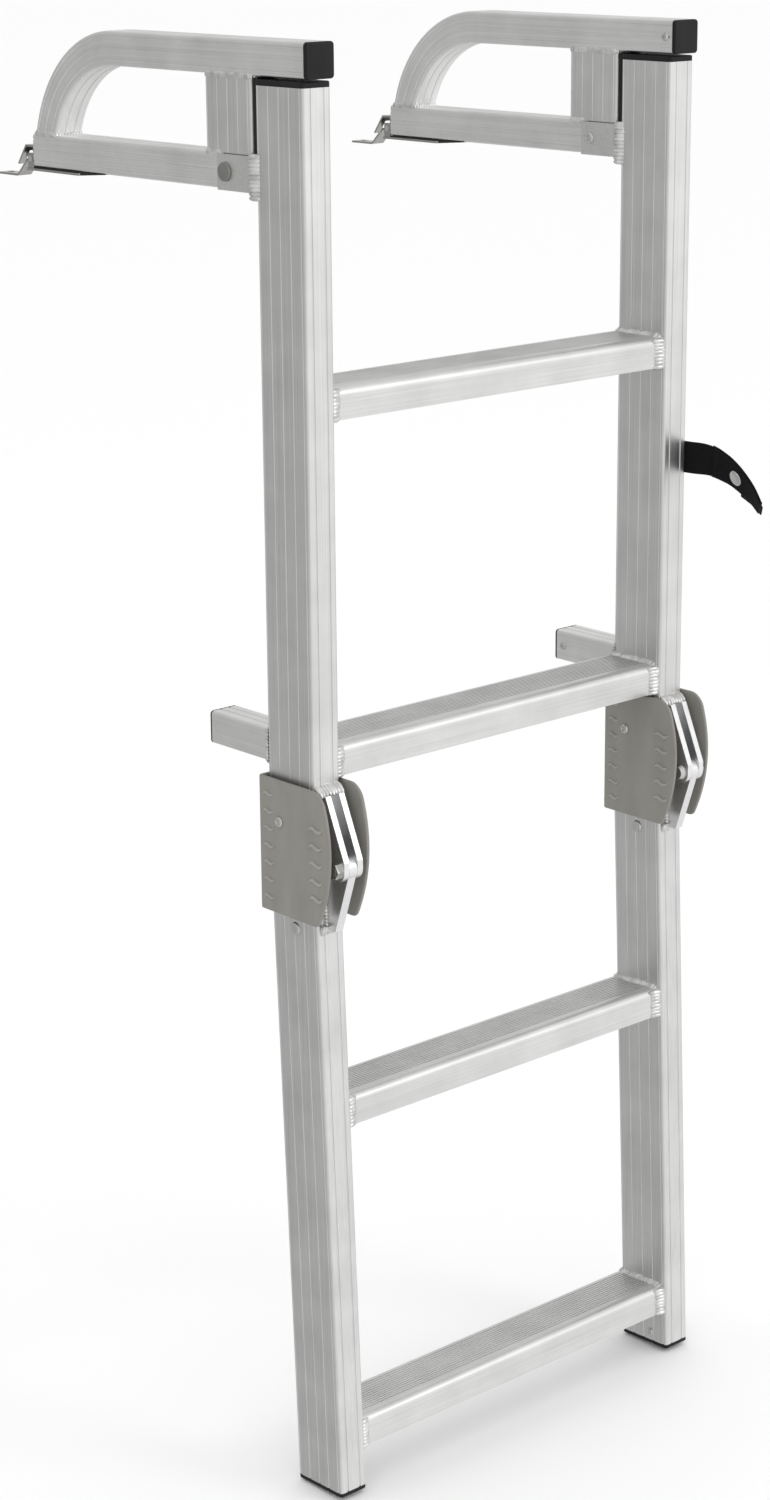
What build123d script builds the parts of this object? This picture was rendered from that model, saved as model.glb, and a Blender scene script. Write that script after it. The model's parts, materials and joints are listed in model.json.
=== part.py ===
from build123d import *
import os
from math import cos, radians, sin

# Folding boat boarding ladder, millimetres.
# X runs across the ladder, +Y towards the boat, +Z up.
# The origin is midway between the rails, on the deck, at the back faces of the upper rails.

# ---- driving dimensions -------------------------------------------------------------
OVERALL_WIDTH = 388.0       # over both rails
RAIL_WIDTH = 26.0           # rail extrusion, across the ladder
RAIL_DEPTH = 50.8           # rail extrusion, front to back
RAIL_WALL = 2.2
RAIL_CORNER = 2.8
GROOVE_RADIUS = 0.78        # cutter of the extrusion's decorative grooves
GROOVE_INSET = 0.2          # how far the cutter's centre stands outside the face
GROOVE_PITCH = 11.2         # between grooves on the wide faces
FACE_GROOVE_PITCH = 12.0    # between grooves on the narrow faces

RAIL_TOP = 76.0             # upper rail's top end
SPLIT_Z = -472.0            # where the upper rails end
SPLIT_GAP = 0.5             # between upper and lower rail ends
FOLD_Y = -70.8              # fold hinge axis
FOLD_Z = -477.0
LOWER_TILT = 2.4            # degrees that the lower section leans outboard
LOWER_FRONT = 20.0          # lower rail's front face, from the fold axis
LOWER_BOTTOM = -503.3       # lower rail's bottom end, from the fold axis

STEP_DEPTH = 46.8
STEP_HEIGHT = 24.0
STEP_WALL = 2.2
STEP_NOSE = 7.0             # round on the step's top front edge
STEP_CORNER = 2.0
TREAD_GROOVES = 12
TREAD_PITCH = 2.9
TREAD_WIDTH = 1.3
TREAD_DEPTH = 0.8
UPPER_STEP_TOPS = (-131.0, -392.0)
LOWER_STEP_TOPS = (-186.0, -450.0)     # from the fold axis

TUBE_WIDTH = 25.4           # square arm and standoff tube
TUBE_HEIGHT = 25.0
TUBE_WALL = 2.5
TUBE_CORNER = 2.8
TUBE_GROOVE_PITCH = 8.2
BAR_BOTTOM = 3.0            # deck bar, above the deck
BAR_FRONT = 8.0
BAR_REAR = 265.0
HANDLE_TOP = 106.8
HANDLE_FRONT = -52.2
HANDLE_BEND = 87.5          # centre-line radius of the handle's bend
HANDLE_BEND_Y = 164.2
POST_FRONT = 5.0
BUMPER_THICK = 4.6

BRACKET_REACH = 39.0        # pivot bracket, behind the rail
BRACKET_SHEET = 3.2
BRACKET_BOTTOM = 2.5
BRACKET_TOP = 27.5
PIVOT_Y = 30.2              # arm pivot axis
PIVOT_Z = 15.5
PIVOT_PIN_RADIUS = 4.0
PIVOT_HEAD_RADIUS = 7.0
PIVOT_HEAD_HEIGHT = 2.2
PIVOT_BUSH_RADIUS = 6.0
PIVOT_SCREW_RADIUS = 2.5
PIVOT_SCREW_HEAD = 4.7

RUNNING_CLEARANCE = 0.05
FIT_CLEARANCE = 0.04
SIDE_CLEARANCE = 0.3

CAP_FLANGE = 3.0            # handle end cap
TOP_CAP_FLANGE = 4.2        # rail top cap
FOOT_CAP_FLANGE = 3.6
STANDOFF_CAP_FLANGE = 2.0
CAP_ROUND = 1.2
CAP_PLUG = 16.0
CAP_GAP = 0.3
CAP_SCREW_RADIUS = 1.6
CAP_SCREW_HEAD = 3.2
CAP_SCREW_HEIGHT = 1.4
CAP_SCREW_LENGTH = 8.0
CAP_SCREW_INSET = 7.2       # from the tube's end

STANDOFF_LENGTH = 65.0
STANDOFF_CENTRE_Z = -396.5

HINGE_PLATE = 5.0           # fold hinge, plate thickness
TONGUE_THICK = 7.4
TONGUE_GAP = 0.2
HINGE_EYE = 9.0
HINGE_PLATE_TOP = -424.0
HINGE_PLATE_BROW = -60.0      # top front corner
HINGE_PLATE_KNEE = -470.0
HINGE_PLATE_ROOT = -470.0
TONGUE_ROOT_TOP = -6.0      # from the fold axis
TONGUE_ROOT_BOTTOM = -50.0
TONGUE_TOE = 10.0
FOLD_BOLT_RADIUS = 4.0
FOLD_HEAD_RADIUS = 6.5
FOLD_HEAD_HEIGHT = 3.6
FOLD_NUT_WIDTH = 6.4        # nut's corner radius
FOLD_NUT_HEIGHT = 3.8
FOLD_BOLT_TAIL = 0.2

GUARD_SHEET = 2.8
GUARD_GAP = 3.8             # between a cheek and the rail's side
GUARD_TOP = -418.0
GUARD_BOTTOM = -521.0
GUARD_BACK = 3.4
GUARD_WEB_INSIDE = 0.8
GUARD_NOSE_TOP = (-66.0, -418.0)
GUARD_NOSE_MIDDLE = (-75.6, -466.0)
GUARD_NOSE_BOTTOM = (-61.5, -521.0)
GUARD_TOP_ROUND = 10.0
GUARD_BOTTOM_ROUND = 3.0
GUARD_BACK_ROUND = 2.6
GUARD_SCREW_AT = (-19.8, -449.5)
GUARD_SCREW_RADIUS = 2.0
GUARD_SCREW_HEAD = 4.2
GUARD_SCREW_HEIGHT = 2.0
GUARD_SCREW_LENGTH = 12.0
GUARD_BOSS_RADIUS = 4.6      # spacer round the screw, inside each cheek

RIVET_AT = (44.0, -52.5)    # stop rivet on the lower rail, from the fold axis
RIVET_RADIUS = 2.4
RIVET_HEAD = 5.0
RIVET_HEIGHT = 1.8
FOOT_SCREW_AT = (38.0, -496.0)

DECK_PLATE_FRONT = 208.0
DECK_PLATE_REAR = 276.0
DECK_PLATE_SHEET = 1.8
PAD_TOE = 178.0             # front tip of the deck pad
PLATE_SCREW_Y = (222.0, 252.0)
PLATE_SCREW_RADIUS = 2.4
PLATE_SCREW_HEAD = 4.4
PLATE_SCREW_SINK = 2.0
PLATE_SCREW_LENGTH = 9.0
HOOD_SHEET = 1.5
HOOD_FOOT = 6.0
HOOD_TOP = 19.0
HOOD_BEND_Y = 275.5
HOOD_LIP = (285.5, 4.5)
HOOD_SLOT_WIDTH = 14.0
HOOD_SLOT_TOP = 14.0
EAR_SPACING = 20.4          # between the middles of the latch pin's ears
EAR_SHEET = 1.5
EAR_FRONT = 267.4
EAR_REAR = 275.0
EAR_TOP = 12.8
LATCH_Y = 271.0             # latch tongue's pin
LATCH_Z = 8.6
LATCH_PIN_RADIUS = 1.5
LATCH_PIN_HEAD = 2.4
LATCH_EYE = 3.0
TONGUE_WIDTH = 12.0
TONGUE_SHEET = 1.6
LATCH_SHOULDER_Y = 283.0
LATCH_HEEL_Y = 296.0
LATCH_TIP_Y = 321.0
LATCH_SHOULDER_Z = 7.0
LATCH_TIP_Z = -5.6
LATCH_HOLE_RADIUS = 2.6
LATCH_HOLE_Y = 313.0
SPRING_WIRE = 0.7
SPRING_TURNS = 3

STRAP_WIDTH = 25.0
STRAP_THICK = 2.4
STRAP_SCREW_Y = -22.0
STRAP_Z = -228.0
# middle of the strap where it hangs: distance outside the rail, Y, Z
STRAP_STATIONS = (
    (1.5, -8.0, -228.0),
    (1.5, -50.0, -228.0),
    (2.6, -74.0, -230.5),
    (4.8, -95.0, -236.5),
    (7.0, -115.0, -245.5),
    (8.6, -128.0, -252.5),
)
STRAP_SCREW_HEAD = 5.5
STRAP_SCREW_HEIGHT = 2.2
SNAP_STATION = (5.4, -101.0, -239.5)
SNAP_RADIUS = 6.5
SNAP_HEIGHT = 1.8

# ---- derived places -------------------------------------------------------------------
RAIL_X = (OVERALL_WIDTH - RAIL_WIDTH) / 2
RAIL_FRONT = -RAIL_DEPTH
RAIL_MIDDLE_Y = RAIL_FRONT / 2
STEP_LENGTH = OVERALL_WIDTH - 2 * RAIL_WIDTH
STEP_FRONT = -STEP_DEPTH
BAR_TOP = BAR_BOTTOM + TUBE_HEIGHT
HANDLE_BOTTOM = HANDLE_TOP - TUBE_HEIGHT
HANDLE_AXIS_Z = HANDLE_TOP - TUBE_HEIGHT / 2
HANDLE_BEND_Z = HANDLE_AXIS_Z - HANDLE_BEND
PLATE_INNER = TONGUE_THICK / 2 + TONGUE_GAP
PLATE_OUTER = PLATE_INNER + HINGE_PLATE
GUARD_INSIDE = RAIL_WIDTH / 2 + GUARD_GAP
GUARD_OUTSIDE = GUARD_INSIDE + GUARD_SHEET
LOWER_BACK = LOWER_FRONT + RAIL_DEPTH
SIDES = (("left", -1), ("right", 1))

UPPER = Plane.XY
LOWER = Plane(
    origin=(0, FOLD_Y, FOLD_Z),
    x_dir=(1, 0, 0),
    z_dir=(0, sin(radians(LOWER_TILT)), cos(radians(LOWER_TILT))),
)


# ---- planes and shared features -----------------------------------------------------------
def level(x, y, z, frame=UPPER):
    """Plane square to a section's rails."""
    return Plane(origin=frame.from_local_coords((x, y, z)), x_dir=frame.x_dir, z_dir=frame.z_dir)


def across(x, y=0, z=0, frame=UPPER, facing=1):
    """Plane square to the steps, its Y up the ladder, facing along X or against it."""
    origin = frame.from_local_coords((x, y, z))
    return Plane(origin=origin, x_dir=frame.y_dir * facing, z_dir=frame.x_dir * facing)


def facing_boat(x, y, z):
    """Plane square to the arms, its Y up."""
    return Plane(origin=(x, y, z), x_dir=(-1, 0, 0), z_dir=(0, 1, 0))


def grooved_tube(width, depth, wall, corner, wide_grooves, narrow_grooves):
    """Section of a hollow extrusion: grooves at these places on its wide and narrow faces."""
    RectangleRounded(width, depth, corner)
    wide_x = width / 2 + GROOVE_INSET
    narrow_y = depth / 2 + GROOVE_INSET
    for y in wide_grooves:
        with Locations((wide_x, y), (-wide_x, y)):
            Circle(GROOVE_RADIUS, mode=Mode.SUBTRACT)
    with Locations(*[(x, sign * narrow_y) for sign in (-1, 1) for x in narrow_grooves]):
        Circle(GROOVE_RADIUS, mode=Mode.SUBTRACT)
    inner_corner = corner - wall / 2
    RectangleRounded(width - 2 * wall, depth - 2 * wall, inner_corner, mode=Mode.SUBTRACT)


def rail_section():
    wide = [GROOVE_PITCH * step for step in (-2, -1, 0, 1, 2)]
    narrow = [-FACE_GROOVE_PITCH / 2, FACE_GROOVE_PITCH / 2]
    grooved_tube(RAIL_WIDTH, RAIL_DEPTH, RAIL_WALL, RAIL_CORNER, wide, narrow)


def post_section():
    wide = [GROOVE_PITCH * step for step in (-2, -1, 0, 1, 2)]
    narrow = [-FACE_GROOVE_PITCH / 2, FACE_GROOVE_PITCH / 2]
    grooved_tube(TUBE_WIDTH, RAIL_DEPTH, RAIL_WALL, RAIL_CORNER, wide, narrow)


def arm_section():
    wide = [TUBE_GROOVE_PITCH * step for step in (-1, 0, 1)]
    narrow = [-TUBE_GROOVE_PITCH / 2, TUBE_GROOVE_PITCH / 2]
    grooved_tube(TUBE_WIDTH, TUBE_HEIGHT, TUBE_WALL, TUBE_CORNER, wide, narrow)


def standoff_section():
    narrow = [-TUBE_GROOVE_PITCH / 2, TUBE_GROOVE_PITCH / 2]
    grooved_tube(TUBE_WIDTH, TUBE_HEIGHT, TUBE_WALL, TUBE_CORNER, [], narrow)


def bore(plane, radius, depth):
    """Round hole into the current part, both ways from the plane."""
    with BuildSketch(plane) as hole:
        Circle(radius)
    extrude(hole.sketch, amount=depth, both=True, mode=Mode.SUBTRACT)


def add_screw(seat, head_radius, head_height, shank_radius, shank_length):
    """Socket screw whose head stands on the seat plane and whose shank goes into it."""
    with BuildSketch(seat) as head:
        Circle(head_radius)
    extrude(head.sketch, amount=head_height, taper=25)
    with BuildSketch(seat.offset(head_height)) as socket:
        RegularPolygon(head_radius * 0.45, 6)
    extrude(socket.sketch, amount=-head_height * 0.7, mode=Mode.SUBTRACT)
    with BuildSketch(seat) as shank:
        Circle(shank_radius)
    extrude(shank.sketch, amount=-shank_length)


def finish(piece, name):
    """Label a finished piece and write its STEP file."""
    piece.part.label = name
    export_step(piece.part, f"parts/{name}.step")


# ---- upper section ------------------------------------------------------------------------
def upper_rail(tag, side):
    x = side * RAIL_X
    with BuildPart() as rail:
        with BuildSketch(level(x, RAIL_MIDDLE_Y, SPLIT_Z)):
            rail_section()
        extrude(amount=RAIL_TOP - SPLIT_Z)
        bore(across(x, *GUARD_SCREW_AT), GUARD_SCREW_RADIUS + FIT_CLEARANCE, RAIL_WIDTH)
        if side > 0:
            bore(across(x + RAIL_WIDTH / 2, STRAP_SCREW_Y, STRAP_Z), PIVOT_SCREW_RADIUS, RAIL_WALL * 2)
    finish(rail, f"{tag}_upper_rail")


def step(name, top, frame, front):
    """Hollow tread between the rails, grooved on top, with a rounded nose."""
    middle_y = front + STEP_DEPTH / 2
    with BuildPart() as tread:
        with BuildSketch(across(-STEP_LENGTH / 2, middle_y, top - STEP_HEIGHT / 2, frame)):
            outline = Rectangle(STEP_DEPTH, STEP_HEIGHT)
            nose = outline.vertices().sort_by(Axis.X)[:2].sort_by(Axis.Y)[-1]
            others = [corner for corner in outline.vertices() if corner != nose]
            fillet(nose, STEP_NOSE)
            fillet(others, STEP_CORNER)
            hollow = (STEP_DEPTH - 2 * STEP_WALL - STEP_NOSE / 2, STEP_HEIGHT - 2 * STEP_WALL)
            with Locations((STEP_NOSE / 4, 0)):
                Rectangle(*hollow, mode=Mode.SUBTRACT)
            with Locations((STEP_NOSE / 2, STEP_HEIGHT / 2)):
                with GridLocations(TREAD_PITCH, 1, TREAD_GROOVES, 1):
                    Rectangle(TREAD_WIDTH, 2 * TREAD_DEPTH, mode=Mode.SUBTRACT)
        extrude(amount=STEP_LENGTH)
    finish(tread, name)


def standoff(tag, side):
    with BuildPart() as tube:
        with BuildSketch(facing_boat(side * RAIL_X, 0, STANDOFF_CENTRE_Z)):
            standoff_section()
        extrude(amount=STANDOFF_LENGTH)
        screw_y = STANDOFF_LENGTH - CAP_SCREW_INSET
        inner_face = side * (RAIL_X - TUBE_WIDTH / 2)
        bore(across(inner_face, screw_y, STANDOFF_CENTRE_Z), CAP_SCREW_RADIUS + FIT_CLEARANCE, TUBE_WALL * 2)
    finish(tube, f"{tag}_standoff")


def round_face(plane, outwards, flange):
    """Round the outer edges of the cap just made on the plane."""
    outer_face = faces(Select.LAST).sort_by(Axis(plane.origin, plane.z_dir * outwards))[-1]
    fillet(outer_face.edges(), min(CAP_ROUND, flange * 0.4))


def tube_cap(plane, flange, screw_plane):
    """Square cap: flange against the tube's end, plug inside it, screw hole across the plug."""
    with BuildSketch(plane) as cover:
        RectangleRounded(TUBE_WIDTH, TUBE_HEIGHT, TUBE_CORNER)
    extrude(cover.sketch, amount=flange)
    round_face(plane, 1, flange)
    with BuildSketch(plane) as plug:
        loss = 2 * (TUBE_WALL + CAP_GAP)
        RectangleRounded(TUBE_WIDTH - loss, TUBE_HEIGHT - loss, TUBE_CORNER / 2)
    extrude(plug.sketch, amount=-CAP_PLUG)
    bore(screw_plane, CAP_SCREW_RADIUS + FIT_CLEARANCE, CAP_SCREW_LENGTH + FIT_CLEARANCE)


def standoff_caps():
    screw_y = STANDOFF_LENGTH - CAP_SCREW_INSET
    with BuildPart() as caps:
        for _, side in SIDES:
            end = facing_boat(side * RAIL_X, STANDOFF_LENGTH, STANDOFF_CENTRE_Z)
            inner_face = across(side * (RAIL_X - TUBE_WIDTH / 2), screw_y, STANDOFF_CENTRE_Z)
            tube_cap(end, STANDOFF_CAP_FLANGE, inner_face)
    finish(caps, "standoff_caps")


def standoff_screws():
    screw_y = STANDOFF_LENGTH - CAP_SCREW_INSET
    with BuildPart() as screws:
        for _, side in SIDES:
            inner_x = side * (RAIL_X - TUBE_WIDTH / 2)
            seat = across(inner_x, screw_y, STANDOFF_CENTRE_Z, facing=-side)
            add_screw(seat, CAP_SCREW_HEAD, CAP_SCREW_HEIGHT, CAP_SCREW_RADIUS, CAP_SCREW_LENGTH)
    finish(screws, "standoff_screws")


def rail_cap(plane, flange, outwards):
    """Rectangular cap on a rail's end: flange outside, plug inside."""
    with BuildSketch(plane) as cover:
        RectangleRounded(RAIL_WIDTH, RAIL_DEPTH, RAIL_CORNER)
    extrude(cover.sketch, amount=flange * outwards)
    round_face(plane, outwards, flange)
    with BuildSketch(plane) as plug:
        loss = 2 * (RAIL_WALL + CAP_GAP)
        RectangleRounded(RAIL_WIDTH - loss, RAIL_DEPTH - loss, RAIL_CORNER / 2)
    extrude(plug.sketch, amount=-CAP_PLUG * outwards)


def rail_top_caps():
    with BuildPart() as caps:
        for _, side in SIDES:
            rail_cap(level(side * RAIL_X, RAIL_MIDDLE_Y, RAIL_TOP), TOP_CAP_FLANGE, 1)
    finish(caps, "rail_top_caps")


def pivot_bracket(tag, side):
    """Channel welded to the rail's back, whose two cheeks carry the arm's pivot."""
    x = side * RAIL_X
    cheek_outside = RAIL_WIDTH / 2 + BRACKET_SHEET
    height = BRACKET_TOP - BRACKET_BOTTOM
    with BuildPart() as bracket:
        with BuildSketch(level(x, 0, BRACKET_BOTTOM)):
            with Locations((0, BRACKET_REACH / 2)):
                Rectangle(2 * cheek_outside, BRACKET_REACH)
            with Locations((0, BRACKET_REACH / 2 + BRACKET_SHEET)):
                Rectangle(RAIL_WIDTH, BRACKET_REACH, mode=Mode.SUBTRACT)
        extrude(amount=height)
        bore(across(x, PIVOT_Y, PIVOT_Z), PIVOT_PIN_RADIUS + FIT_CLEARANCE, 2 * cheek_outside)
    finish(bracket, f"{tag}_pivot_bracket")


def pivot_pins():
    """Barrel nuts: a plain flat head outboard and a threaded bore from the inboard end."""
    cheek = RAIL_WIDTH / 2 + BRACKET_SHEET
    with BuildPart() as pins:
        for _, side in SIDES:
            head = across(side * (RAIL_X + cheek), PIVOT_Y, PIVOT_Z, facing=side)
            with BuildSketch(head):
                Circle(PIVOT_HEAD_RADIUS)
            extrude(amount=PIVOT_HEAD_HEIGHT, taper=12)
            with BuildSketch(head):
                Circle(PIVOT_PIN_RADIUS)
            extrude(amount=-2 * cheek)
            with BuildSketch(head.offset(-2 * cheek)):
                Circle(PIVOT_SCREW_RADIUS + FIT_CLEARANCE)
            extrude(amount=cheek, mode=Mode.SUBTRACT)
    finish(pins, "pivot_pins")


def pivot_screws():
    cheek = RAIL_WIDTH / 2 + BRACKET_SHEET
    with BuildPart() as screws:
        for _, side in SIDES:
            seat = across(side * (RAIL_X - cheek), PIVOT_Y, PIVOT_Z, facing=-side)
            add_screw(seat, PIVOT_SCREW_HEAD, GUARD_SCREW_HEIGHT, PIVOT_SCREW_RADIUS, RAIL_WIDTH / 2)
    finish(screws, "pivot_screws")


def hinge_plates(tag, side):
    """Two plates welded to the rail's front face, with the fold bolt through their eyes."""
    with BuildPart() as plates:
        for inner_x in (-PLATE_OUTER, PLATE_INNER):
            with BuildSketch(across(side * RAIL_X + inner_x)):
                with BuildLine():
                    Polyline(
                        (RAIL_FRONT, HINGE_PLATE_TOP),
                        (HINGE_PLATE_BROW, HINGE_PLATE_TOP),
                        (FOLD_Y - HINGE_EYE, HINGE_PLATE_KNEE),
                        (FOLD_Y - HINGE_EYE, FOLD_Z),
                        (FOLD_Y, FOLD_Z - HINGE_EYE),
                        (RAIL_FRONT, HINGE_PLATE_ROOT),
                        close=True,
                    )
                make_face()
                with Locations((FOLD_Y, FOLD_Z)):
                    Circle(HINGE_EYE)
                    Circle(FOLD_BOLT_RADIUS + FIT_CLEARANCE, mode=Mode.SUBTRACT)
            extrude(amount=HINGE_PLATE)
    finish(plates, f"{tag}_hinge_plates")


def fold_bolts():
    """Domed bolts, heads inboard."""
    with BuildPart() as bolts:
        for _, side in SIDES:
            seat = across(side * (RAIL_X - PLATE_OUTER), FOLD_Y, FOLD_Z, facing=-side)
            with BuildSketch(seat):
                Circle(FOLD_HEAD_RADIUS)
            extrude(amount=FOLD_HEAD_HEIGHT, taper=22)
            with BuildSketch(seat):
                Circle(FOLD_BOLT_RADIUS)
            extrude(amount=-(2 * PLATE_OUTER + FOLD_NUT_HEIGHT + FOLD_BOLT_TAIL))
    finish(bolts, "fold_bolts")


def fold_nuts():
    with BuildPart() as nuts:
        for _, side in SIDES:
            seat = across(side * (RAIL_X + PLATE_OUTER), FOLD_Y, FOLD_Z, facing=side)
            with BuildSketch(seat):
                RegularPolygon(FOLD_NUT_WIDTH, 6)
                Circle(FOLD_BOLT_RADIUS + FIT_CLEARANCE, mode=Mode.SUBTRACT)
            extrude(amount=FOLD_NUT_HEIGHT)
    finish(nuts, "fold_nuts")


def guard(tag, side):
    """Moulded channel round the fold: two cheeks with a bowed nose and a web at the back."""
    x = side * RAIL_X
    with BuildPart() as cover:
        with BuildSketch(across(x - GUARD_OUTSIDE)):
            with BuildLine():
                Line((GUARD_BACK, GUARD_BOTTOM), (GUARD_BACK, GUARD_TOP))
                Line((GUARD_BACK, GUARD_TOP), GUARD_NOSE_TOP)
                ThreePointArc(GUARD_NOSE_TOP, GUARD_NOSE_MIDDLE, GUARD_NOSE_BOTTOM)
                Line(GUARD_NOSE_BOTTOM, (GUARD_BACK, GUARD_BOTTOM))
            make_face()
            nose = vertices().sort_by(Axis.X)[:2]
            fillet(nose.sort_by(Axis.Y)[-1], GUARD_TOP_ROUND)
            fillet(vertices().sort_by(Axis.Y)[:2].sort_by(Axis.X)[0], GUARD_BOTTOM_ROUND)
        extrude(amount=2 * GUARD_OUTSIDE)
        back_edges = edges().filter_by(Axis.Z).group_by(Axis.Y)[-1]
        fillet(back_edges, GUARD_BACK_ROUND)
        with BuildSketch(level(x, GUARD_WEB_INSIDE, GUARD_BOTTOM)):
            with Locations((0, -RAIL_DEPTH)):
                Rectangle(2 * GUARD_INSIDE, 2 * RAIL_DEPTH)
        extrude(amount=GUARD_TOP - GUARD_BOTTOM, mode=Mode.SUBTRACT)
        for facing in (-1, 1):
            with BuildSketch(across(x + facing * GUARD_INSIDE, *GUARD_SCREW_AT, facing=-facing)):
                Circle(GUARD_BOSS_RADIUS)
            extrude(amount=GUARD_GAP - SIDE_CLEARANCE)
        bore(across(x, *GUARD_SCREW_AT), GUARD_SCREW_RADIUS + FIT_CLEARANCE, 2 * GUARD_OUTSIDE)
    finish(cover, f"{tag}_hinge_guard")


def guard_screws():
    with BuildPart() as screws:
        for _, side in SIDES:
            for facing in (-1, 1):
                seat = across(side * RAIL_X + facing * GUARD_OUTSIDE, *GUARD_SCREW_AT, facing=facing)
                add_screw(seat, GUARD_SCREW_HEAD, GUARD_SCREW_HEIGHT, GUARD_SCREW_RADIUS, GUARD_SCREW_LENGTH)
    finish(screws, "guard_screws")


def strap():
    """Webbing strap on the right rail's outer face, hanging forward from its screw."""
    outer_face = RAIL_X + RAIL_WIDTH / 2
    with BuildPart() as webbing:
        for out, y, z in STRAP_STATIONS:
            with BuildSketch(facing_boat(outer_face + out, y, z)):
                Rectangle(STRAP_THICK, STRAP_WIDTH)
        loft(ruled=True)
        bore(across(outer_face, STRAP_SCREW_Y, STRAP_Z), PIVOT_SCREW_RADIUS + FIT_CLEARANCE, STRAP_SCREW_HEAD)
    finish(webbing, "strap")


def strap_screw():
    outer_face = RAIL_X + RAIL_WIDTH / 2
    seat_x = outer_face + STRAP_STATIONS[0][0] + STRAP_THICK / 2
    with BuildPart() as screw:
        seat = across(seat_x, STRAP_SCREW_Y, STRAP_Z)
        shank = seat_x - outer_face + RAIL_WALL
        add_screw(seat, STRAP_SCREW_HEAD, STRAP_SCREW_HEIGHT, PIVOT_SCREW_RADIUS - FIT_CLEARANCE, shank)
    finish(screw, "strap_screw")


def strap_snap():
    """Snap fastener: a domed cap inboard and its socket outboard of the strap."""
    out, y, z = SNAP_STATION
    middle = RAIL_X + RAIL_WIDTH / 2 + out
    with BuildPart() as snap:
        for facing in (-1, 1):
            stand = STRAP_THICK / 2 + SIDE_CLEARANCE * 3
            with BuildSketch(across(middle + facing * stand, y, z, facing=facing)):
                Circle(SNAP_RADIUS)
            extrude(amount=SNAP_HEIGHT, taper=30)
    finish(snap, "strap_snap")


# ---- arms -----------------------------------------------------------------------------------
def handle_tube(tag, side):
    """Hand hold: straight above the rail, then bent down to the deck bar."""
    x = side * RAIL_X
    with BuildPart() as tube:
        with BuildLine(across(x)):
            Line((HANDLE_FRONT, HANDLE_AXIS_Z), (HANDLE_BEND_Y, HANDLE_AXIS_Z))
            CenterArc((HANDLE_BEND_Y, HANDLE_BEND_Z), HANDLE_BEND, 90, -88)
        with BuildSketch(facing_boat(x, HANDLE_FRONT, HANDLE_AXIS_Z)):
            arm_section()
        sweep()
        split(bisect_by=Plane.XY.offset(BAR_TOP), keep=Keep.TOP)
        inner_face = side * (RAIL_X - TUBE_WIDTH / 2)
        screw_y = HANDLE_FRONT + CAP_SCREW_INSET
        bore(across(inner_face, screw_y, HANDLE_AXIS_Z), CAP_SCREW_RADIUS + FIT_CLEARANCE, TUBE_WALL * 2)
    finish(tube, f"{tag}_handle_tube")


def deck_bar(tag, side):
    x = side * RAIL_X
    with BuildPart() as bar:
        with BuildSketch(facing_boat(x, BAR_FRONT, BAR_BOTTOM + TUBE_HEIGHT / 2)):
            arm_section()
        extrude(amount=BAR_REAR - BAR_FRONT)
        bore(across(x, PIVOT_Y, PIVOT_Z), PIVOT_BUSH_RADIUS + FIT_CLEARANCE, TUBE_WIDTH)
        for screw_y in PLATE_SCREW_Y:
            bore(level(x, screw_y, BAR_BOTTOM), PLATE_SCREW_RADIUS + FIT_CLEARANCE, TUBE_WALL * 2)
    finish(bar, f"{tag}_deck_bar")


def post(tag, side):
    with BuildPart() as upright:
        with BuildSketch(level(side * RAIL_X, POST_FRONT + RAIL_DEPTH / 2, BAR_TOP)):
            post_section()
        extrude(amount=HANDLE_BOTTOM - BAR_TOP)
    finish(upright, f"{tag}_post")


def bumper(tag, side):
    """Rubber strip between the post and the rail's back."""
    with BuildPart() as strip:
        with BuildSketch(level(side * RAIL_X, POST_FRONT - BUMPER_THICK / 2, BRACKET_TOP + 1)):
            Rectangle(TUBE_WIDTH - 2 * TUBE_CORNER, BUMPER_THICK)
        extrude(amount=HANDLE_BOTTOM - BRACKET_TOP - 2)
    finish(strip, f"{tag}_post_bumper")


def pivot_bush(tag, side):
    with BuildPart() as bush:
        with BuildSketch(across(side * RAIL_X, PIVOT_Y, PIVOT_Z)):
            Circle(PIVOT_BUSH_RADIUS)
            Circle(PIVOT_PIN_RADIUS + RUNNING_CLEARANCE, mode=Mode.SUBTRACT)
        extrude(amount=TUBE_WIDTH / 2, both=True)
    finish(bush, f"{tag}_pivot_bush")


def handle_cap(tag, side):
    end = facing_boat(side * RAIL_X, HANDLE_FRONT, HANDLE_AXIS_Z)
    outwards = Plane(origin=end.origin, x_dir=end.x_dir, z_dir=-end.z_dir)
    inner_face = side * (RAIL_X - TUBE_WIDTH / 2)
    with BuildPart() as cap:
        tube_cap(outwards, CAP_FLANGE, across(inner_face, HANDLE_FRONT + CAP_SCREW_INSET, HANDLE_AXIS_Z))
    finish(cap, f"{tag}_handle_cap")


def handle_cap_screw(tag, side):
    inner_face = side * (RAIL_X - TUBE_WIDTH / 2)
    seat = across(inner_face, HANDLE_FRONT + CAP_SCREW_INSET, HANDLE_AXIS_Z, facing=-side)
    with BuildPart() as screw:
        add_screw(seat, CAP_SCREW_HEAD, CAP_SCREW_HEIGHT, CAP_SCREW_RADIUS, CAP_SCREW_LENGTH)
    finish(screw, f"{tag}_handle_cap_screw")


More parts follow.
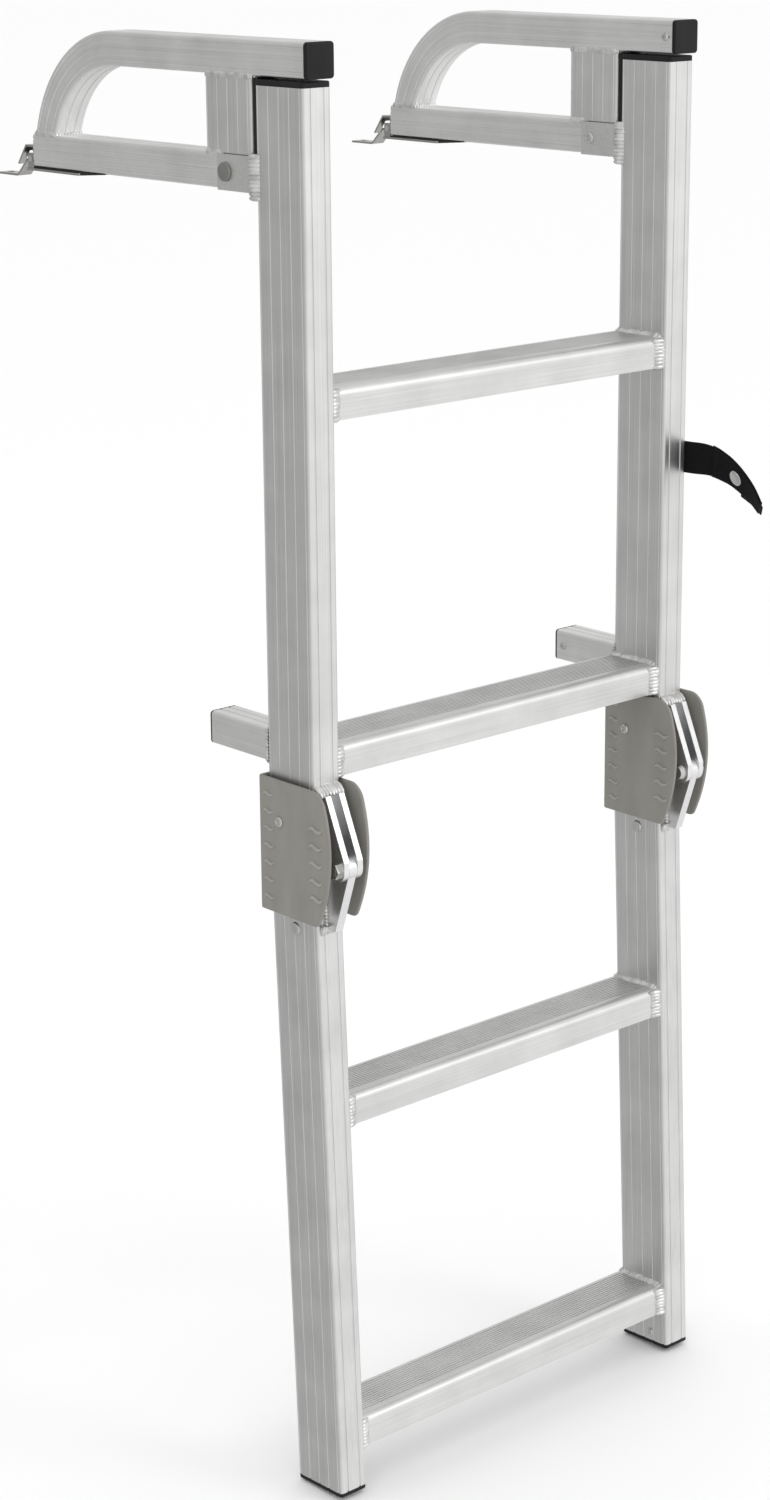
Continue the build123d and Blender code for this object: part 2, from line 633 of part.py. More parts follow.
def deck_plate(tag, side):
    """Stainless foot under the bar, with two ears at its back for the latch pin."""
    x = side * RAIL_X
    with BuildPart() as plate:
        with BuildSketch(level(x, (DECK_PLATE_FRONT + DECK_PLATE_REAR) / 2, 0)):
            RectangleRounded(TUBE_WIDTH, DECK_PLATE_REAR - DECK_PLATE_FRONT, 2)
        extrude(amount=DECK_PLATE_SHEET)
        for ear in (-1, 1):
            ear_x = x + ear * EAR_SPACING / 2 - EAR_SHEET / 2
            with BuildSketch(across(ear_x, (EAR_FRONT + EAR_REAR) / 2, EAR_TOP / 2)):
                RectangleRounded(EAR_REAR - EAR_FRONT, EAR_TOP, 0.8)
            extrude(amount=EAR_SHEET)
        bore(across(x, LATCH_Y, LATCH_Z), LATCH_PIN_RADIUS + FIT_CLEARANCE, TUBE_WIDTH)
        for screw_y in PLATE_SCREW_Y:
            with BuildSketch(level(x, screw_y, 0)):
                Circle(PLATE_SCREW_HEAD + FIT_CLEARANCE)
            extrude(amount=DECK_PLATE_SHEET, taper=45, mode=Mode.SUBTRACT)
    finish(plate, f"{tag}_deck_plate")


def deck_pad(tag, side):
    """Rubber pad between foot plate and bar, running out to a thin toe."""
    with BuildPart() as pad:
        with BuildSketch(across(side * RAIL_X - TUBE_WIDTH / 2 + 1)):
            with BuildLine():
                Polyline(
                    (PAD_TOE, BAR_BOTTOM),
                    (PAD_TOE, BAR_BOTTOM - 0.4),
                    (DECK_PLATE_FRONT - 1, 0.2),
                    (DECK_PLATE_FRONT - 1, DECK_PLATE_SHEET),
                    (BAR_REAR, DECK_PLATE_SHEET),
                    (BAR_REAR, BAR_BOTTOM),
                    close=True,
                )
            make_face()
        extrude(amount=TUBE_WIDTH - 2)
        for screw_y in PLATE_SCREW_Y:
            bore(level(side * RAIL_X, screw_y, 0), PLATE_SCREW_RADIUS + 0.6, 2 * BAR_BOTTOM)
    finish(pad, f"{tag}_deck_pad")


def plate_screws(tag, side):
    with BuildPart() as screws:
        for screw_y in PLATE_SCREW_Y:
            foot = level(side * RAIL_X, screw_y, 0)
            with BuildSketch(foot):
                Circle(PLATE_SCREW_HEAD)
            extrude(amount=PLATE_SCREW_SINK, taper=45)
            with BuildSketch(foot):
                Circle(PLATE_SCREW_RADIUS)
            extrude(amount=PLATE_SCREW_LENGTH)
            with BuildSketch(foot):
                RegularPolygon(PLATE_SCREW_HEAD * 0.4, 6)
            extrude(amount=PLATE_SCREW_SINK, mode=Mode.SUBTRACT)
    finish(screws, f"{tag}_plate_screws")


def latch_hood(tag, side):
    """Bent strip on the bar's back end, over the latch tongue, slotted so that the tongue lifts."""
    with BuildPart() as hood:
        with BuildSketch(across(side * RAIL_X - TUBE_WIDTH / 2 + 0.5)):
            with BuildLine():
                Polyline(
                    (BAR_REAR + HOOD_SHEET / 2, HOOD_FOOT),
                    (BAR_REAR + HOOD_SHEET / 2, HOOD_TOP - HOOD_SHEET / 2),
                    (HOOD_BEND_Y, HOOD_TOP - HOOD_SHEET / 2),
                    HOOD_LIP,
                )
                offset(amount=HOOD_SHEET / 2, side=Side.BOTH)
            make_face()
        extrude(amount=TUBE_WIDTH - 1)
        with BuildSketch(facing_boat(side * RAIL_X, HOOD_BEND_Y, 0)):
            Rectangle(HOOD_SLOT_WIDTH, 2 * HOOD_SLOT_TOP)
        extrude(amount=HOOD_LIP[0], mode=Mode.SUBTRACT)
    finish(hood, f"{tag}_latch_hood")


def latch_tongue(tag, side):
    """Sprung finger lever: an eye on its pin, a step down and a flat tip with a hole."""
    x = side * RAIL_X
    with BuildPart() as lever:
        with BuildSketch(across(x - TONGUE_WIDTH / 2)):
            with BuildLine():
                path = FilletPolyline(
                    (LATCH_Y, LATCH_Z),
                    (LATCH_SHOULDER_Y, LATCH_SHOULDER_Z),
                    (LATCH_HEEL_Y, LATCH_TIP_Z),
                    (LATCH_TIP_Y, LATCH_TIP_Z),
                    radius=3.5,
                )
                offset(path, amount=TONGUE_SHEET / 2, side=Side.BOTH)
            make_face()
            with Locations((LATCH_Y, LATCH_Z)):
                Circle(LATCH_EYE)
                Circle(LATCH_PIN_RADIUS + RUNNING_CLEARANCE, mode=Mode.SUBTRACT)
        extrude(amount=TONGUE_WIDTH)
        bore(level(x, LATCH_HOLE_Y, LATCH_TIP_Z), LATCH_HOLE_RADIUS, TONGUE_SHEET)
    finish(lever, f"{tag}_latch_tongue")


def latch_pin(tag, side):
    reach = EAR_SPACING / 2 + EAR_SHEET / 2
    with BuildPart() as pin:
        with BuildSketch(across(side * RAIL_X - reach, LATCH_Y, LATCH_Z)):
            Circle(LATCH_PIN_RADIUS)
        extrude(amount=2 * reach)
        for facing in (-1, 1):
            with BuildSketch(across(side * RAIL_X + facing * reach, LATCH_Y, LATCH_Z, facing=facing)):
                Circle(LATCH_PIN_HEAD)
            extrude(amount=0.9)
    finish(pin, f"{tag}_latch_pin")


def latch_spring(tag, side):
    """Torsion coil on the pin beside the tongue."""
    coil_radius = LATCH_PIN_RADIUS + SPRING_WIRE / 2 + 0.35
    pitch = SPRING_WIRE + 0.1
    start = side * RAIL_X + TONGUE_WIDTH / 2 + 0.6
    with BuildPart() as spring:
        with BuildLine():
            coil = Helix(
                pitch, pitch * SPRING_TURNS, coil_radius, center=(start, LATCH_Y, LATCH_Z), direction=(1, 0, 0)
            )
        with BuildSketch(coil ^ 0):
            Circle(SPRING_WIRE / 2)
        sweep()
    finish(spring, f"{tag}_latch_spring")


# ---- lower section ----------------------------------------------------------------------------
def lower_rail(tag, side):
    """Rail leaning outboard, its top end cut level so that it closes against the upper rail."""
    x = side * RAIL_X
    with BuildPart() as rail:
        with BuildSketch(level(x, LOWER_FRONT + RAIL_DEPTH / 2, LOWER_BOTTOM, LOWER)):
            rail_section()
        extrude(amount=RAIL_DEPTH - LOWER_BOTTOM)
        split(bisect_by=Plane.XY.offset(SPLIT_Z - SPLIT_GAP), keep=Keep.BOTTOM)
        bore(across(x, *RIVET_AT, frame=LOWER), RIVET_RADIUS + FIT_CLEARANCE, RAIL_WIDTH)
        inner_x = side * (RAIL_X - RAIL_WIDTH / 2)
        bore(across(inner_x, *FOOT_SCREW_AT, frame=LOWER), CAP_SCREW_RADIUS + FIT_CLEARANCE, RAIL_WALL * 2)
    finish(rail, f"{tag}_lower_rail")


def hinge_tongue(tag, side):
    """Single plate welded to the lower rail's front face, turning on the fold bolt."""
    with BuildPart() as tongue:
        with BuildSketch(across(side * RAIL_X - TONGUE_THICK / 2, frame=LOWER)):
            with BuildLine():
                Polyline(
                    (-HINGE_EYE, 0),
                    (TONGUE_TOE, TONGUE_ROOT_BOTTOM),
                    (LOWER_FRONT, TONGUE_ROOT_BOTTOM),
                    (LOWER_FRONT, TONGUE_ROOT_TOP),
                    (0, HINGE_EYE),
                    close=True,
                )
            make_face()
            Circle(HINGE_EYE)
            Circle(FOLD_BOLT_RADIUS + RUNNING_CLEARANCE, mode=Mode.SUBTRACT)
        extrude(amount=TONGUE_THICK)
    finish(tongue, f"{tag}_hinge_tongue")


def foot_caps():
    with BuildPart() as caps:
        for _, side in SIDES:
            foot = level(side * RAIL_X, LOWER_FRONT + RAIL_DEPTH / 2, LOWER_BOTTOM, LOWER)
            rail_cap(foot, FOOT_CAP_FLANGE, -1)
            inner_x = side * (RAIL_X - RAIL_WIDTH / 2)
            hole = across(inner_x, *FOOT_SCREW_AT, frame=LOWER)
            bore(hole, CAP_SCREW_RADIUS + FIT_CLEARANCE, CAP_SCREW_LENGTH + FIT_CLEARANCE)
    finish(caps, "foot_caps")


def foot_screws():
    with BuildPart() as screws:
        for _, side in SIDES:
            inner_x = side * (RAIL_X - RAIL_WIDTH / 2)
            seat = across(inner_x, *FOOT_SCREW_AT, frame=LOWER, facing=-side)
            add_screw(seat, CAP_SCREW_HEAD, CAP_SCREW_HEIGHT, CAP_SCREW_RADIUS, CAP_SCREW_LENGTH)
    finish(screws, "foot_screws")


def stop_rivets():
    """Dome-headed rivets through the lower rails, just below the guards."""
    with BuildPart() as rivets:
        for _, side in SIDES:
            with BuildSketch(across(side * RAIL_X, *RIVET_AT, frame=LOWER)):
                Circle(RIVET_RADIUS)
            extrude(amount=RAIL_WIDTH / 2, both=True)
            for facing in (-1, 1):
                seat = across(side * RAIL_X + facing * RAIL_WIDTH / 2, *RIVET_AT, frame=LOWER, facing=facing)
                with BuildSketch(seat):
                    Circle(RIVET_HEAD)
                extrude(amount=RIVET_HEIGHT, taper=40)
    finish(rivets, "stop_rivets")


def build_upper_section():
    for number, top in enumerate(UPPER_STEP_TOPS, start=1):
        step(f"step_{number}", top, UPPER, STEP_FRONT)
    for tag, side in SIDES:
        upper_rail(tag, side)
        standoff(tag, side)
        pivot_bracket(tag, side)
        hinge_plates(tag, side)
        guard(tag, side)
    for group in (standoff_caps, standoff_screws, rail_top_caps, pivot_pins, pivot_screws):
        group()
    for group in (fold_bolts, fold_nuts, guard_screws, strap, strap_screw, strap_snap):
        group()


def build_arms():
    for tag, side in SIDES:
        for piece in (handle_tube, deck_bar, post, bumper, pivot_bush, handle_cap, handle_cap_screw):
            piece(tag, side)
        for piece in (deck_plate, deck_pad, plate_screws, latch_hood):
            piece(tag, side)
        for piece in (latch_tongue, latch_pin, latch_spring):
            piece(tag, side)


def build_lower_section():
    first = len(UPPER_STEP_TOPS) + 1
    for number, top in enumerate(LOWER_STEP_TOPS, start=first):
        step(f"step_{number}", top, LOWER, LOWER_BACK - STEP_DEPTH)
    for tag, side in SIDES:
        lower_rail(tag, side)
        hinge_tongue(tag, side)
    for group in (foot_caps, foot_screws, stop_rivets):
        group()


os.makedirs("parts", exist_ok=True)
build_upper_section()
build_arms()
build_lower_section()
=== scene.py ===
"""Looks of a folding boat boarding ladder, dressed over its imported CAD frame.

The ladder hangs from two hinged handle arms. This file gives every CAD part its finish and
adds what CAD leaves out: weld beads, domed fasteners, ribbed hinge guards and a limp strap.
"""

from __future__ import annotations

import json
import logging
import math
from collections.abc import Callable, Iterable, Sequence
from dataclasses import dataclass
from enum import Enum
from typing import Any

import bmesh
import bpy
from mathutils import Matrix, Vector


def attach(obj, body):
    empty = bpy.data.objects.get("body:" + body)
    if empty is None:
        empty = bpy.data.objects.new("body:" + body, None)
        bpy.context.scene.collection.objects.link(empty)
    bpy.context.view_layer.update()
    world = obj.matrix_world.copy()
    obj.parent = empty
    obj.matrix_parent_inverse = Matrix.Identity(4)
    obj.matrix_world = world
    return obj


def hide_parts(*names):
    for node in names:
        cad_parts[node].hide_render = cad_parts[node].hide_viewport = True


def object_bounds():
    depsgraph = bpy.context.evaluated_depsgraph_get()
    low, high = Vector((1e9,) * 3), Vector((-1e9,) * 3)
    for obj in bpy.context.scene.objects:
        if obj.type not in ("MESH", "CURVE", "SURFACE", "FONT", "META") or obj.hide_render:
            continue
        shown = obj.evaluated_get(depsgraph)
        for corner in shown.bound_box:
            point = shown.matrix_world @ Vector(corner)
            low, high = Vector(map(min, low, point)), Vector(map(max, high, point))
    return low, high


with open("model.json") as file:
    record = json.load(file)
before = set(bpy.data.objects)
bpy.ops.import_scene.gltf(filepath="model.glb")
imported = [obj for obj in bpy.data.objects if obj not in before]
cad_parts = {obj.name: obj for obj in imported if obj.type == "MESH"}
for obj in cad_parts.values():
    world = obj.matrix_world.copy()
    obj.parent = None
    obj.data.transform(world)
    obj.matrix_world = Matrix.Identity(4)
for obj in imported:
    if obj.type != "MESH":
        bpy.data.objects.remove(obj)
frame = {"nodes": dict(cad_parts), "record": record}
CAD_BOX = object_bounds()

LOG = logging.getLogger("ladder")
MM = 0.001
SAME_PLACE = 1e-7
UPPER_BODY = "upper_section"
LOWER_BODY = "lower_section"
Colour = tuple[float, float, float]
Point = tuple[float, float, float]
Run = list[tuple[Point, Point]]


class Side(Enum):
    """The ladder's two sides, as a climber sees them."""

    LEFT = -1
    RIGHT = 1

    @property
    def tag(self) -> str:
        """Prefix of this side's CAD nodes."""
        return self.name.lower()


class Grain(Enum):
    """Direction in which a metal part was drawn or brushed."""

    ALONG_X = (6.0, 900.0, 900.0)
    ALONG_Y = (900.0, 6.0, 900.0)
    ALONG_Z = (900.0, 900.0, 6.0)
    BENT = (900.0, 900.0, 0.0)
    NONE = (420.0, 420.0, 420.0)


# ---- node graphs --------------------------------------------------------------------------
def operator(operation: str, reflected: bool = False) -> Callable[..., Wire]:
    """Method of a wire that adds one Math node.

    Args:
        operation: The Math node's operation.
        reflected: Whether the wire is the second operand.

    Returns:
        The method.
    """

    def method(self: Wire, other: Any = 0.0) -> Wire:
        """Add the node."""
        first, second = (other, self) if reflected else (self, other)
        return self.graph.add("ShaderNodeMath", {"operation": operation}, {0: first, 1: second})

    return method


class Wire:
    """A node's output socket that takes part in arithmetic."""

    def __init__(self, graph: Graph, socket: bpy.types.NodeSocket) -> None:
        """Wrap an output socket of a graph."""
        self.graph = graph
        self.socket = socket

    __add__ = operator("ADD")
    __radd__ = operator("ADD", reflected=True)
    __sub__ = operator("SUBTRACT")
    __rsub__ = operator("SUBTRACT", reflected=True)
    __mul__ = operator("MULTIPLY")
    __rmul__ = operator("MULTIPLY", reflected=True)
    __pow__ = operator("POWER")
    largest = operator("MAXIMUM")
    wave = operator("SINE")


class Graph:
    """A node tree that is filled one call at a time."""

    def __init__(self, tree: bpy.types.NodeTree) -> None:
        """Start from an empty tree.

        Args:
            tree: The material's or modifier's node tree.
        """
        self.tree = tree
        tree.nodes.clear()

    def add(
        self,
        kind: str,
        settings: dict[str, Any] | None = None,
        inputs: dict[int | str, Any] | None = None,
        output: int | str = 0,
    ) -> Wire:
        """Add a node.

        Args:
            kind: The node's type name.
            settings: Its properties, set before its sockets.
            inputs: Values or wires for its input sockets, by index or name.
            output: Which of its outputs to hand back.

        Returns:
            The wanted output.
        """
        node = self.tree.nodes.new(kind)
        for name, value in (settings or {}).items():
            if name == "stops":
                self._set_stops(node.color_ramp, value)
            else:
                setattr(node, name, value)
        for key, value in (inputs or {}).items():
            self.feed(node.inputs[key], value)
        chosen = node.outputs[output] if len(node.outputs) else None
        return Wire(self, chosen)

    def feed(self, socket: bpy.types.NodeSocket, value: Any) -> None:
        """Link a wire to a socket, or set the socket's own value.

        Args:
            socket: The input socket.
            value: A wire or a constant.
        """
        if isinstance(value, Wire):
            self.tree.links.new(value.socket, socket)
        else:
            socket.default_value = value

    @staticmethod
    def _set_stops(ramp: bpy.types.ColorRamp, stops: Sequence[tuple[float, float]]) -> None:
        """Give a ramp its grey stops, as (position, level) pairs."""
        while len(ramp.elements) < len(stops):
            ramp.elements.new(1.0)
        for element, (position, level) in zip(ramp.elements, stops):
            element.position = position
            element.color = (level, level, level, 1.0)


class Recipe(Graph):
    """A surface material: one Principled shader and what feeds it."""

    def __init__(self, name: str) -> None:
        """Create the material.

        Args:
            name: The material's name.
        """
        self.material = bpy.data.materials.new(name)
        self.material.use_nodes = True
        super().__init__(self.material.node_tree)
        self.surface = self.tree.nodes.new("ShaderNodeBsdfPrincipled")
        output = self.tree.nodes.new("ShaderNodeOutputMaterial")
        self.tree.links.new(self.surface.outputs[0], output.inputs["Surface"])

    def place(self) -> Wire:
        """Object coordinates, in metres."""
        return self.add("ShaderNodeTexCoord", output="Object")

    def stretched(self, place: Wire, scale: Point) -> Wire:
        """Coordinates scaled by axis."""
        return self.add("ShaderNodeMapping", {"vector_type": "POINT"}, {"Vector": place, "Scale": scale})

    def noise(self, place: Wire, scale: float, detail: float = 2.0, rough: float = 0.5) -> Wire:
        """Smooth noise from 0 to 1."""
        inputs = {"Vector": place, "Scale": scale, "Detail": detail, "Roughness": rough}
        return self.add("ShaderNodeTexNoise", inputs=inputs)

    def ramp(self, value: Wire, stops: Sequence[tuple[float, float]]) -> Wire:
        """Remap a value through grey stops."""
        return self.add("ShaderNodeValToRGB", {"stops": stops}, {0: value})

    def mixed(self, factor: Wire, first: Any, second: Any) -> Wire:
        """Mix two colours."""
        pair = [(*c, 1.0) if isinstance(c, tuple) else c for c in (first, second)]
        settings = {"data_type": "RGBA", "clamp_factor": True}
        return self.add("ShaderNodeMix", settings, {0: factor, 6: pair[0], 7: pair[1]}, output=2)

    def bump(self, height: Wire, depth: float, strength: float = 1.0) -> Wire:
        """Normal disturbed by a height of 0 to 1, which stands for depth in metres."""
        inputs = {"Height": height, "Distance": depth, "Strength": strength}
        return self.add("ShaderNodeBump", inputs=inputs)

    def done(self, **sockets: Any) -> bpy.types.Material:
        """Set the shader's sockets.

        Args:
            **sockets: Values or wires, by socket name with underscores for spaces.

        Returns:
            The finished material.
        """
        for name, value in sockets.items():
            value = (*value, 1.0) if isinstance(value, tuple) and len(value) == 3 else value
            self.feed(self.surface.inputs[name.replace("_", " ")], value)
        return self.material


# ---- finishes -----------------------------------------------------------------------------
@dataclass(frozen=True)
class DrawnAluminium:
    """Satin anodised extrusion: fine drawing lines, faint cloudiness, small pits."""

    name: str
    grain: Grain
    colour: Colour = (0.80, 0.80, 0.79)
    shade: Colour = (0.66, 0.66, 0.655)
    roughness: float = 0.36
    line_depth: float = 0.000012
    bend_y: float = 0.1642
    bend_z: float = 0.0068

    def _drawn(self, recipe: Recipe, place: Wire) -> Wire:
        """Coordinates stretched along the drawing direction."""
        if self.grain is not Grain.BENT:
            return recipe.stretched(place, self.grain.value)
        parts = recipe.tree.nodes.new("ShaderNodeSeparateXYZ")
        recipe.feed(parts.inputs[0], place)
        across, along, height = (Wire(recipe, socket) for socket in parts.outputs)
        past = (along - self.bend_y).largest(0.0)
        rise = height - self.bend_z
        radius = (past * past + rise * rise) ** 0.5
        inputs = {0: across * self.grain.value[0], 1: radius * self.grain.value[1], 2: along * 4.0}
        return recipe.add("ShaderNodeCombineXYZ", inputs=inputs)

    def make(self) -> bpy.types.Material:
        """Build the material."""
        recipe = Recipe(self.name)
        place = recipe.place()
        lines = recipe.noise(self._drawn(recipe, place), 1.0, 3.0, 0.6)
        cloud = recipe.noise(place, 26.0, 3.0, 0.55)
        pits = recipe.ramp(recipe.noise(place, 700.0, 2.0), ((0.27, 0.0), (0.36, 1.0)))
        tone = lines * 0.55 + cloud * 0.45
        colour = recipe.mixed(recipe.ramp(tone, ((0.32, 0.0), (0.62, 1.0))), self.shade, self.colour)
        roughness = self.roughness - 0.06 + lines * 0.10 + cloud * 0.08
        height = lines * 0.8 + pits * 0.2
        normal = recipe.bump(height, self.line_depth)
        return recipe.done(
            Base_Color=colour, Roughness=roughness, Metallic=1.0, Normal=normal, IOR=1.45
        )


@dataclass(frozen=True)
class WeldMetal:
    """Aluminium filler: bright frozen ripples with a faint dull bloom."""

    name: str
    colour: Colour = (0.86, 0.86, 0.85)
    bloom: Colour = (0.62, 0.62, 0.61)

    def make(self) -> bpy.types.Material:
        """Build the material."""
        recipe = Recipe(self.name)
        place = recipe.place()
        fine = recipe.noise(place, 900.0, 3.0, 0.6)
        cloud = recipe.noise(place, 160.0, 2.0)
        colour = recipe.mixed(recipe.ramp(cloud, ((0.35, 0.0), (0.6, 1.0))), self.bloom, self.colour)
        roughness = 0.26 + fine * 0.22
        return recipe.done(
            Base_Color=colour, Roughness=roughness, Metallic=1.0, Normal=recipe.bump(fine, 0.00006)
        )


@dataclass(frozen=True)
class Stainless:
    """Stainless steel: bright, with fine rubbed scratches."""

    name: str
    colour: Colour = (0.74, 0.735, 0.72)
    dull: Colour = (0.55, 0.545, 0.53)
    roughness: float = 0.20

    def make(self) -> bpy.types.Material:
        """Build the material."""
        recipe = Recipe(self.name)
        place = recipe.place()
        rub = recipe.noise(recipe.stretched(place, (1.0, 0.12, 1.0)), 1500.0, 2.0)
        cloud = recipe.noise(place, 120.0, 2.0)
        colour = recipe.mixed(cloud, self.dull, self.colour)
        roughness = self.roughness - 0.05 + rub * 0.12
        return recipe.done(
            Base_Color=colour, Roughness=roughness, Metallic=1.0, Normal=recipe.bump(rub, 0.000008)
        )


@dataclass(frozen=True)
class MouldedPlastic:
    """Injection moulding with a spark-eroded texture and faint flow marks."""

    name: str
    colour: Colour
    worn: Colour
    roughness: float = 0.50
    spark_depth: float = 0.00004
    gleam: float = 0.5

    def make(self) -> bpy.types.Material:
        """Build the material."""
        recipe = Recipe(self.name)
        place = recipe.place()
        spark = recipe.noise(place, 2100.0, 2.0, 0.6)
        flow = recipe.noise(recipe.stretched(place, (1.0, 1.0, 0.35)), 55.0, 3.0)
        colour = recipe.mixed(recipe.ramp(flow, ((0.35, 0.0), (0.7, 1.0))), self.colour, self.worn)
        roughness = self.roughness - 0.06 + spark * 0.08 + flow * 0.06
        return recipe.done(
            Base_Color=colour,
            Roughness=roughness,
            Specular_IOR_Level=self.gleam,
            Normal=recipe.bump(spark, self.spark_depth),
        )


@dataclass(frozen=True)
class Webbing:
    """Woven nylon band: rows of yarn across and a herringbone along the piece's UV map."""

    name: str
    colour: Colour = (0.004, 0.004, 0.005)
    lit: Colour = (0.011, 0.010, 0.012)
    rows_per_metre: float = 720.0
    columns: float = 14.0

    def make(self) -> bpy.types.Material:
        """Build the material."""
        recipe = Recipe(self.name)
        uv = recipe.add("ShaderNodeUVMap", {"uv_map": "webbing"})
        parts = recipe.tree.nodes.new("ShaderNodeSeparateXYZ")
        recipe.feed(parts.inputs[0], uv)
        across, along = Wire(recipe, parts.outputs[0]), Wire(recipe, parts.outputs[1])
        columns = (across * (self.columns * math.tau)).wave()
        shifted = along * (self.rows_per_metre * math.tau) + columns * 1.6
        yarn = shifted.wave() * 0.5 + 0.5
        fuzz = recipe.noise(recipe.place(), 1900.0, 3.0, 0.7)
        weave = yarn * 0.75 + columns * 0.12 + fuzz * 0.2
        colour = recipe.mixed(recipe.ramp(weave, ((0.2, 0.0), (0.95, 1.0))), self.colour, self.lit)
        return recipe.done(
            Base_Color=colour, Roughness=0.82, Normal=recipe.bump(weave, 0.00035), Specular_IOR_Level=0.15
        )


@dataclass(frozen=True)
class Paint:
    """Plain matt studio surface."""

    name: str
    colour: Colour

    def make(self) -> bpy.types.Material:
        """Build the material."""
        return Recipe(self.name).done(Base_Color=self.colour, Roughness=0.9)


FINISHES = {
    "rail": DrawnAluminium("rail_drawn_upright", Grain.ALONG_Z),
    "tube": DrawnAluminium("arm_tube_drawn_along", Grain.ALONG_Y, (0.93, 0.93, 0.92), (0.78, 0.78, 0.77)),
    "bend": DrawnAluminium("handle_tube_drawn_round", Grain.BENT, (0.93, 0.93, 0.92), (0.78, 0.78, 0.77)),
    "step": DrawnAluminium("step_drawn_across", Grain.ALONG_X),
    "plate": DrawnAluminium("plate_rolled", Grain.NONE, roughness=0.42),
    "edge": DrawnAluminium("plate_sawn_bright", Grain.NONE, (0.90, 0.90, 0.90), (0.8, 0.8, 0.8), 0.28),
    "weld": WeldMetal("weld_metal"),
    "steel": Stainless("fastener_stainless"),
    "sheet": Stainless("spring_stainless", (0.52, 0.515, 0.50), (0.36, 0.355, 0.34), 0.14),
    "pin": Stainless("pivot_pin_steel", (0.40, 0.395, 0.37), (0.30, 0.295, 0.28), 0.34),
    "guard": MouldedPlastic("guard_grey", (0.225, 0.215, 0.195), (0.255, 0.245, 0.225)),
    # guard_rib: the guard's own plastic painted lighter, a painted highlight for the light that the raised
    # ribs catch
    "guard_rib": MouldedPlastic("guard_rib_grey", (0.30, 0.29, 0.265), (0.33, 0.32, 0.295), 0.42),
    "black": MouldedPlastic("cap_black", (0.008, 0.008, 0.009), (0.013, 0.013, 0.014), 0.46, gleam=0.22),
    "rubber": MouldedPlastic(
        "bumper_rubber", (0.014, 0.014, 0.014), (0.022, 0.022, 0.021), 0.72, 0.00008, 0.25
    ),
    "nylon": MouldedPlastic("bush_nylon", (0.60, 0.59, 0.54), (0.66, 0.65, 0.60), 0.5),
    "webbing": Webbing("strap_webbing"),
    "thread": MouldedPlastic("thread_black", (0.012, 0.011, 0.013), (0.018, 0.017, 0.019), 0.7, gleam=0.2),
}


class Workshop:
    """Makes each finish once and hands it out."""

    def __init__(self) -> None:
        """Start with an empty shelf."""
        self.shelf: dict[str, bpy.types.Material] = {}

    def finish(self, name: str) -> bpy.types.Material:
        """The material of that finish."""
        if name not in self.shelf:
            self.shelf[name] = FINISHES[name].make()
        return self.shelf[name]

    def dress(self, node: str, name: str) -> None:
        """Give a CAD node a finish, in all its slots.

        Args:
            node: The CAD node's name.
            name: The finish.
        """
        for place in frame["nodes"][node].material_slots:
            place.material = self.finish(name)


# ---- meshes -------------------------------------------------------------------------------
def new_object(name: str, mesh: bpy.types.Mesh) -> bpy.types.Object:
    """Put a mesh in the scene as an object at the origin."""
    made = bpy.data.objects.new(name, mesh)
    bpy.context.scene.collection.objects.link(made)
    return made


def settle(
    piece: bpy.types.Object, body: str, replaces: str | None = None
) -> bpy.types.Object:
    """Hang a finished piece on its body and hide the CAD node that it stands for, if any."""
    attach(piece, body)
    if replaces:
        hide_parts(replaces)
    return piece


def metres(place: Vector) -> Point:
    """A place in millimetres, in metres."""
    return (place.x * MM, place.y * MM, place.z * MM)


def circle(radius: float, count: int) -> list[tuple[float, float]]:
    """Points of a circle round the origin."""
    turns = [math.tau * turn / count for turn in range(count)]
    return [(radius * math.cos(turn), radius * math.sin(turn)) for turn in turns]


def mesh_of(
    name: str, points: Sequence[Sequence[float]], faces: Sequence[Sequence[int]]
) -> bpy.types.Mesh:
    """Smooth-shaded mesh with its faces turned outwards."""
    shape = bmesh.new()
    corners = [shape.verts.new(point) for point in points]
    for face in faces:
        shape.faces.new([corners[index] for index in face]).smooth = True
    bmesh.ops.remove_doubles(shape, verts=shape.verts, dist=SAME_PLACE)
    bmesh.ops.recalc_face_normals(shape, faces=shape.faces)
    mesh = bpy.data.meshes.new(name)
    shape.to_mesh(mesh)
    shape.free()
    return mesh


def ring_mesh(name: str, rings: Sequence[Sequence[Sequence[float]]]) -> bpy.types.Mesh:
    """Skin over closed rings of equal count, with both ends filled."""
    count = len(rings[0])
    points = [point for ring in rings for point in ring]
    faces: list[list[int]] = []
    for row in range(len(rings) - 1):
        low, high = row * count, (row + 1) * count
        for step in range(count):
            after = (step + 1) % count
            faces.append([low + step, low + after, high + after, high + step])
    faces.append(list(range(count)))
    faces.append([(len(rings) - 1) * count + step for step in range(count)])
    return mesh_of(name, points, faces)


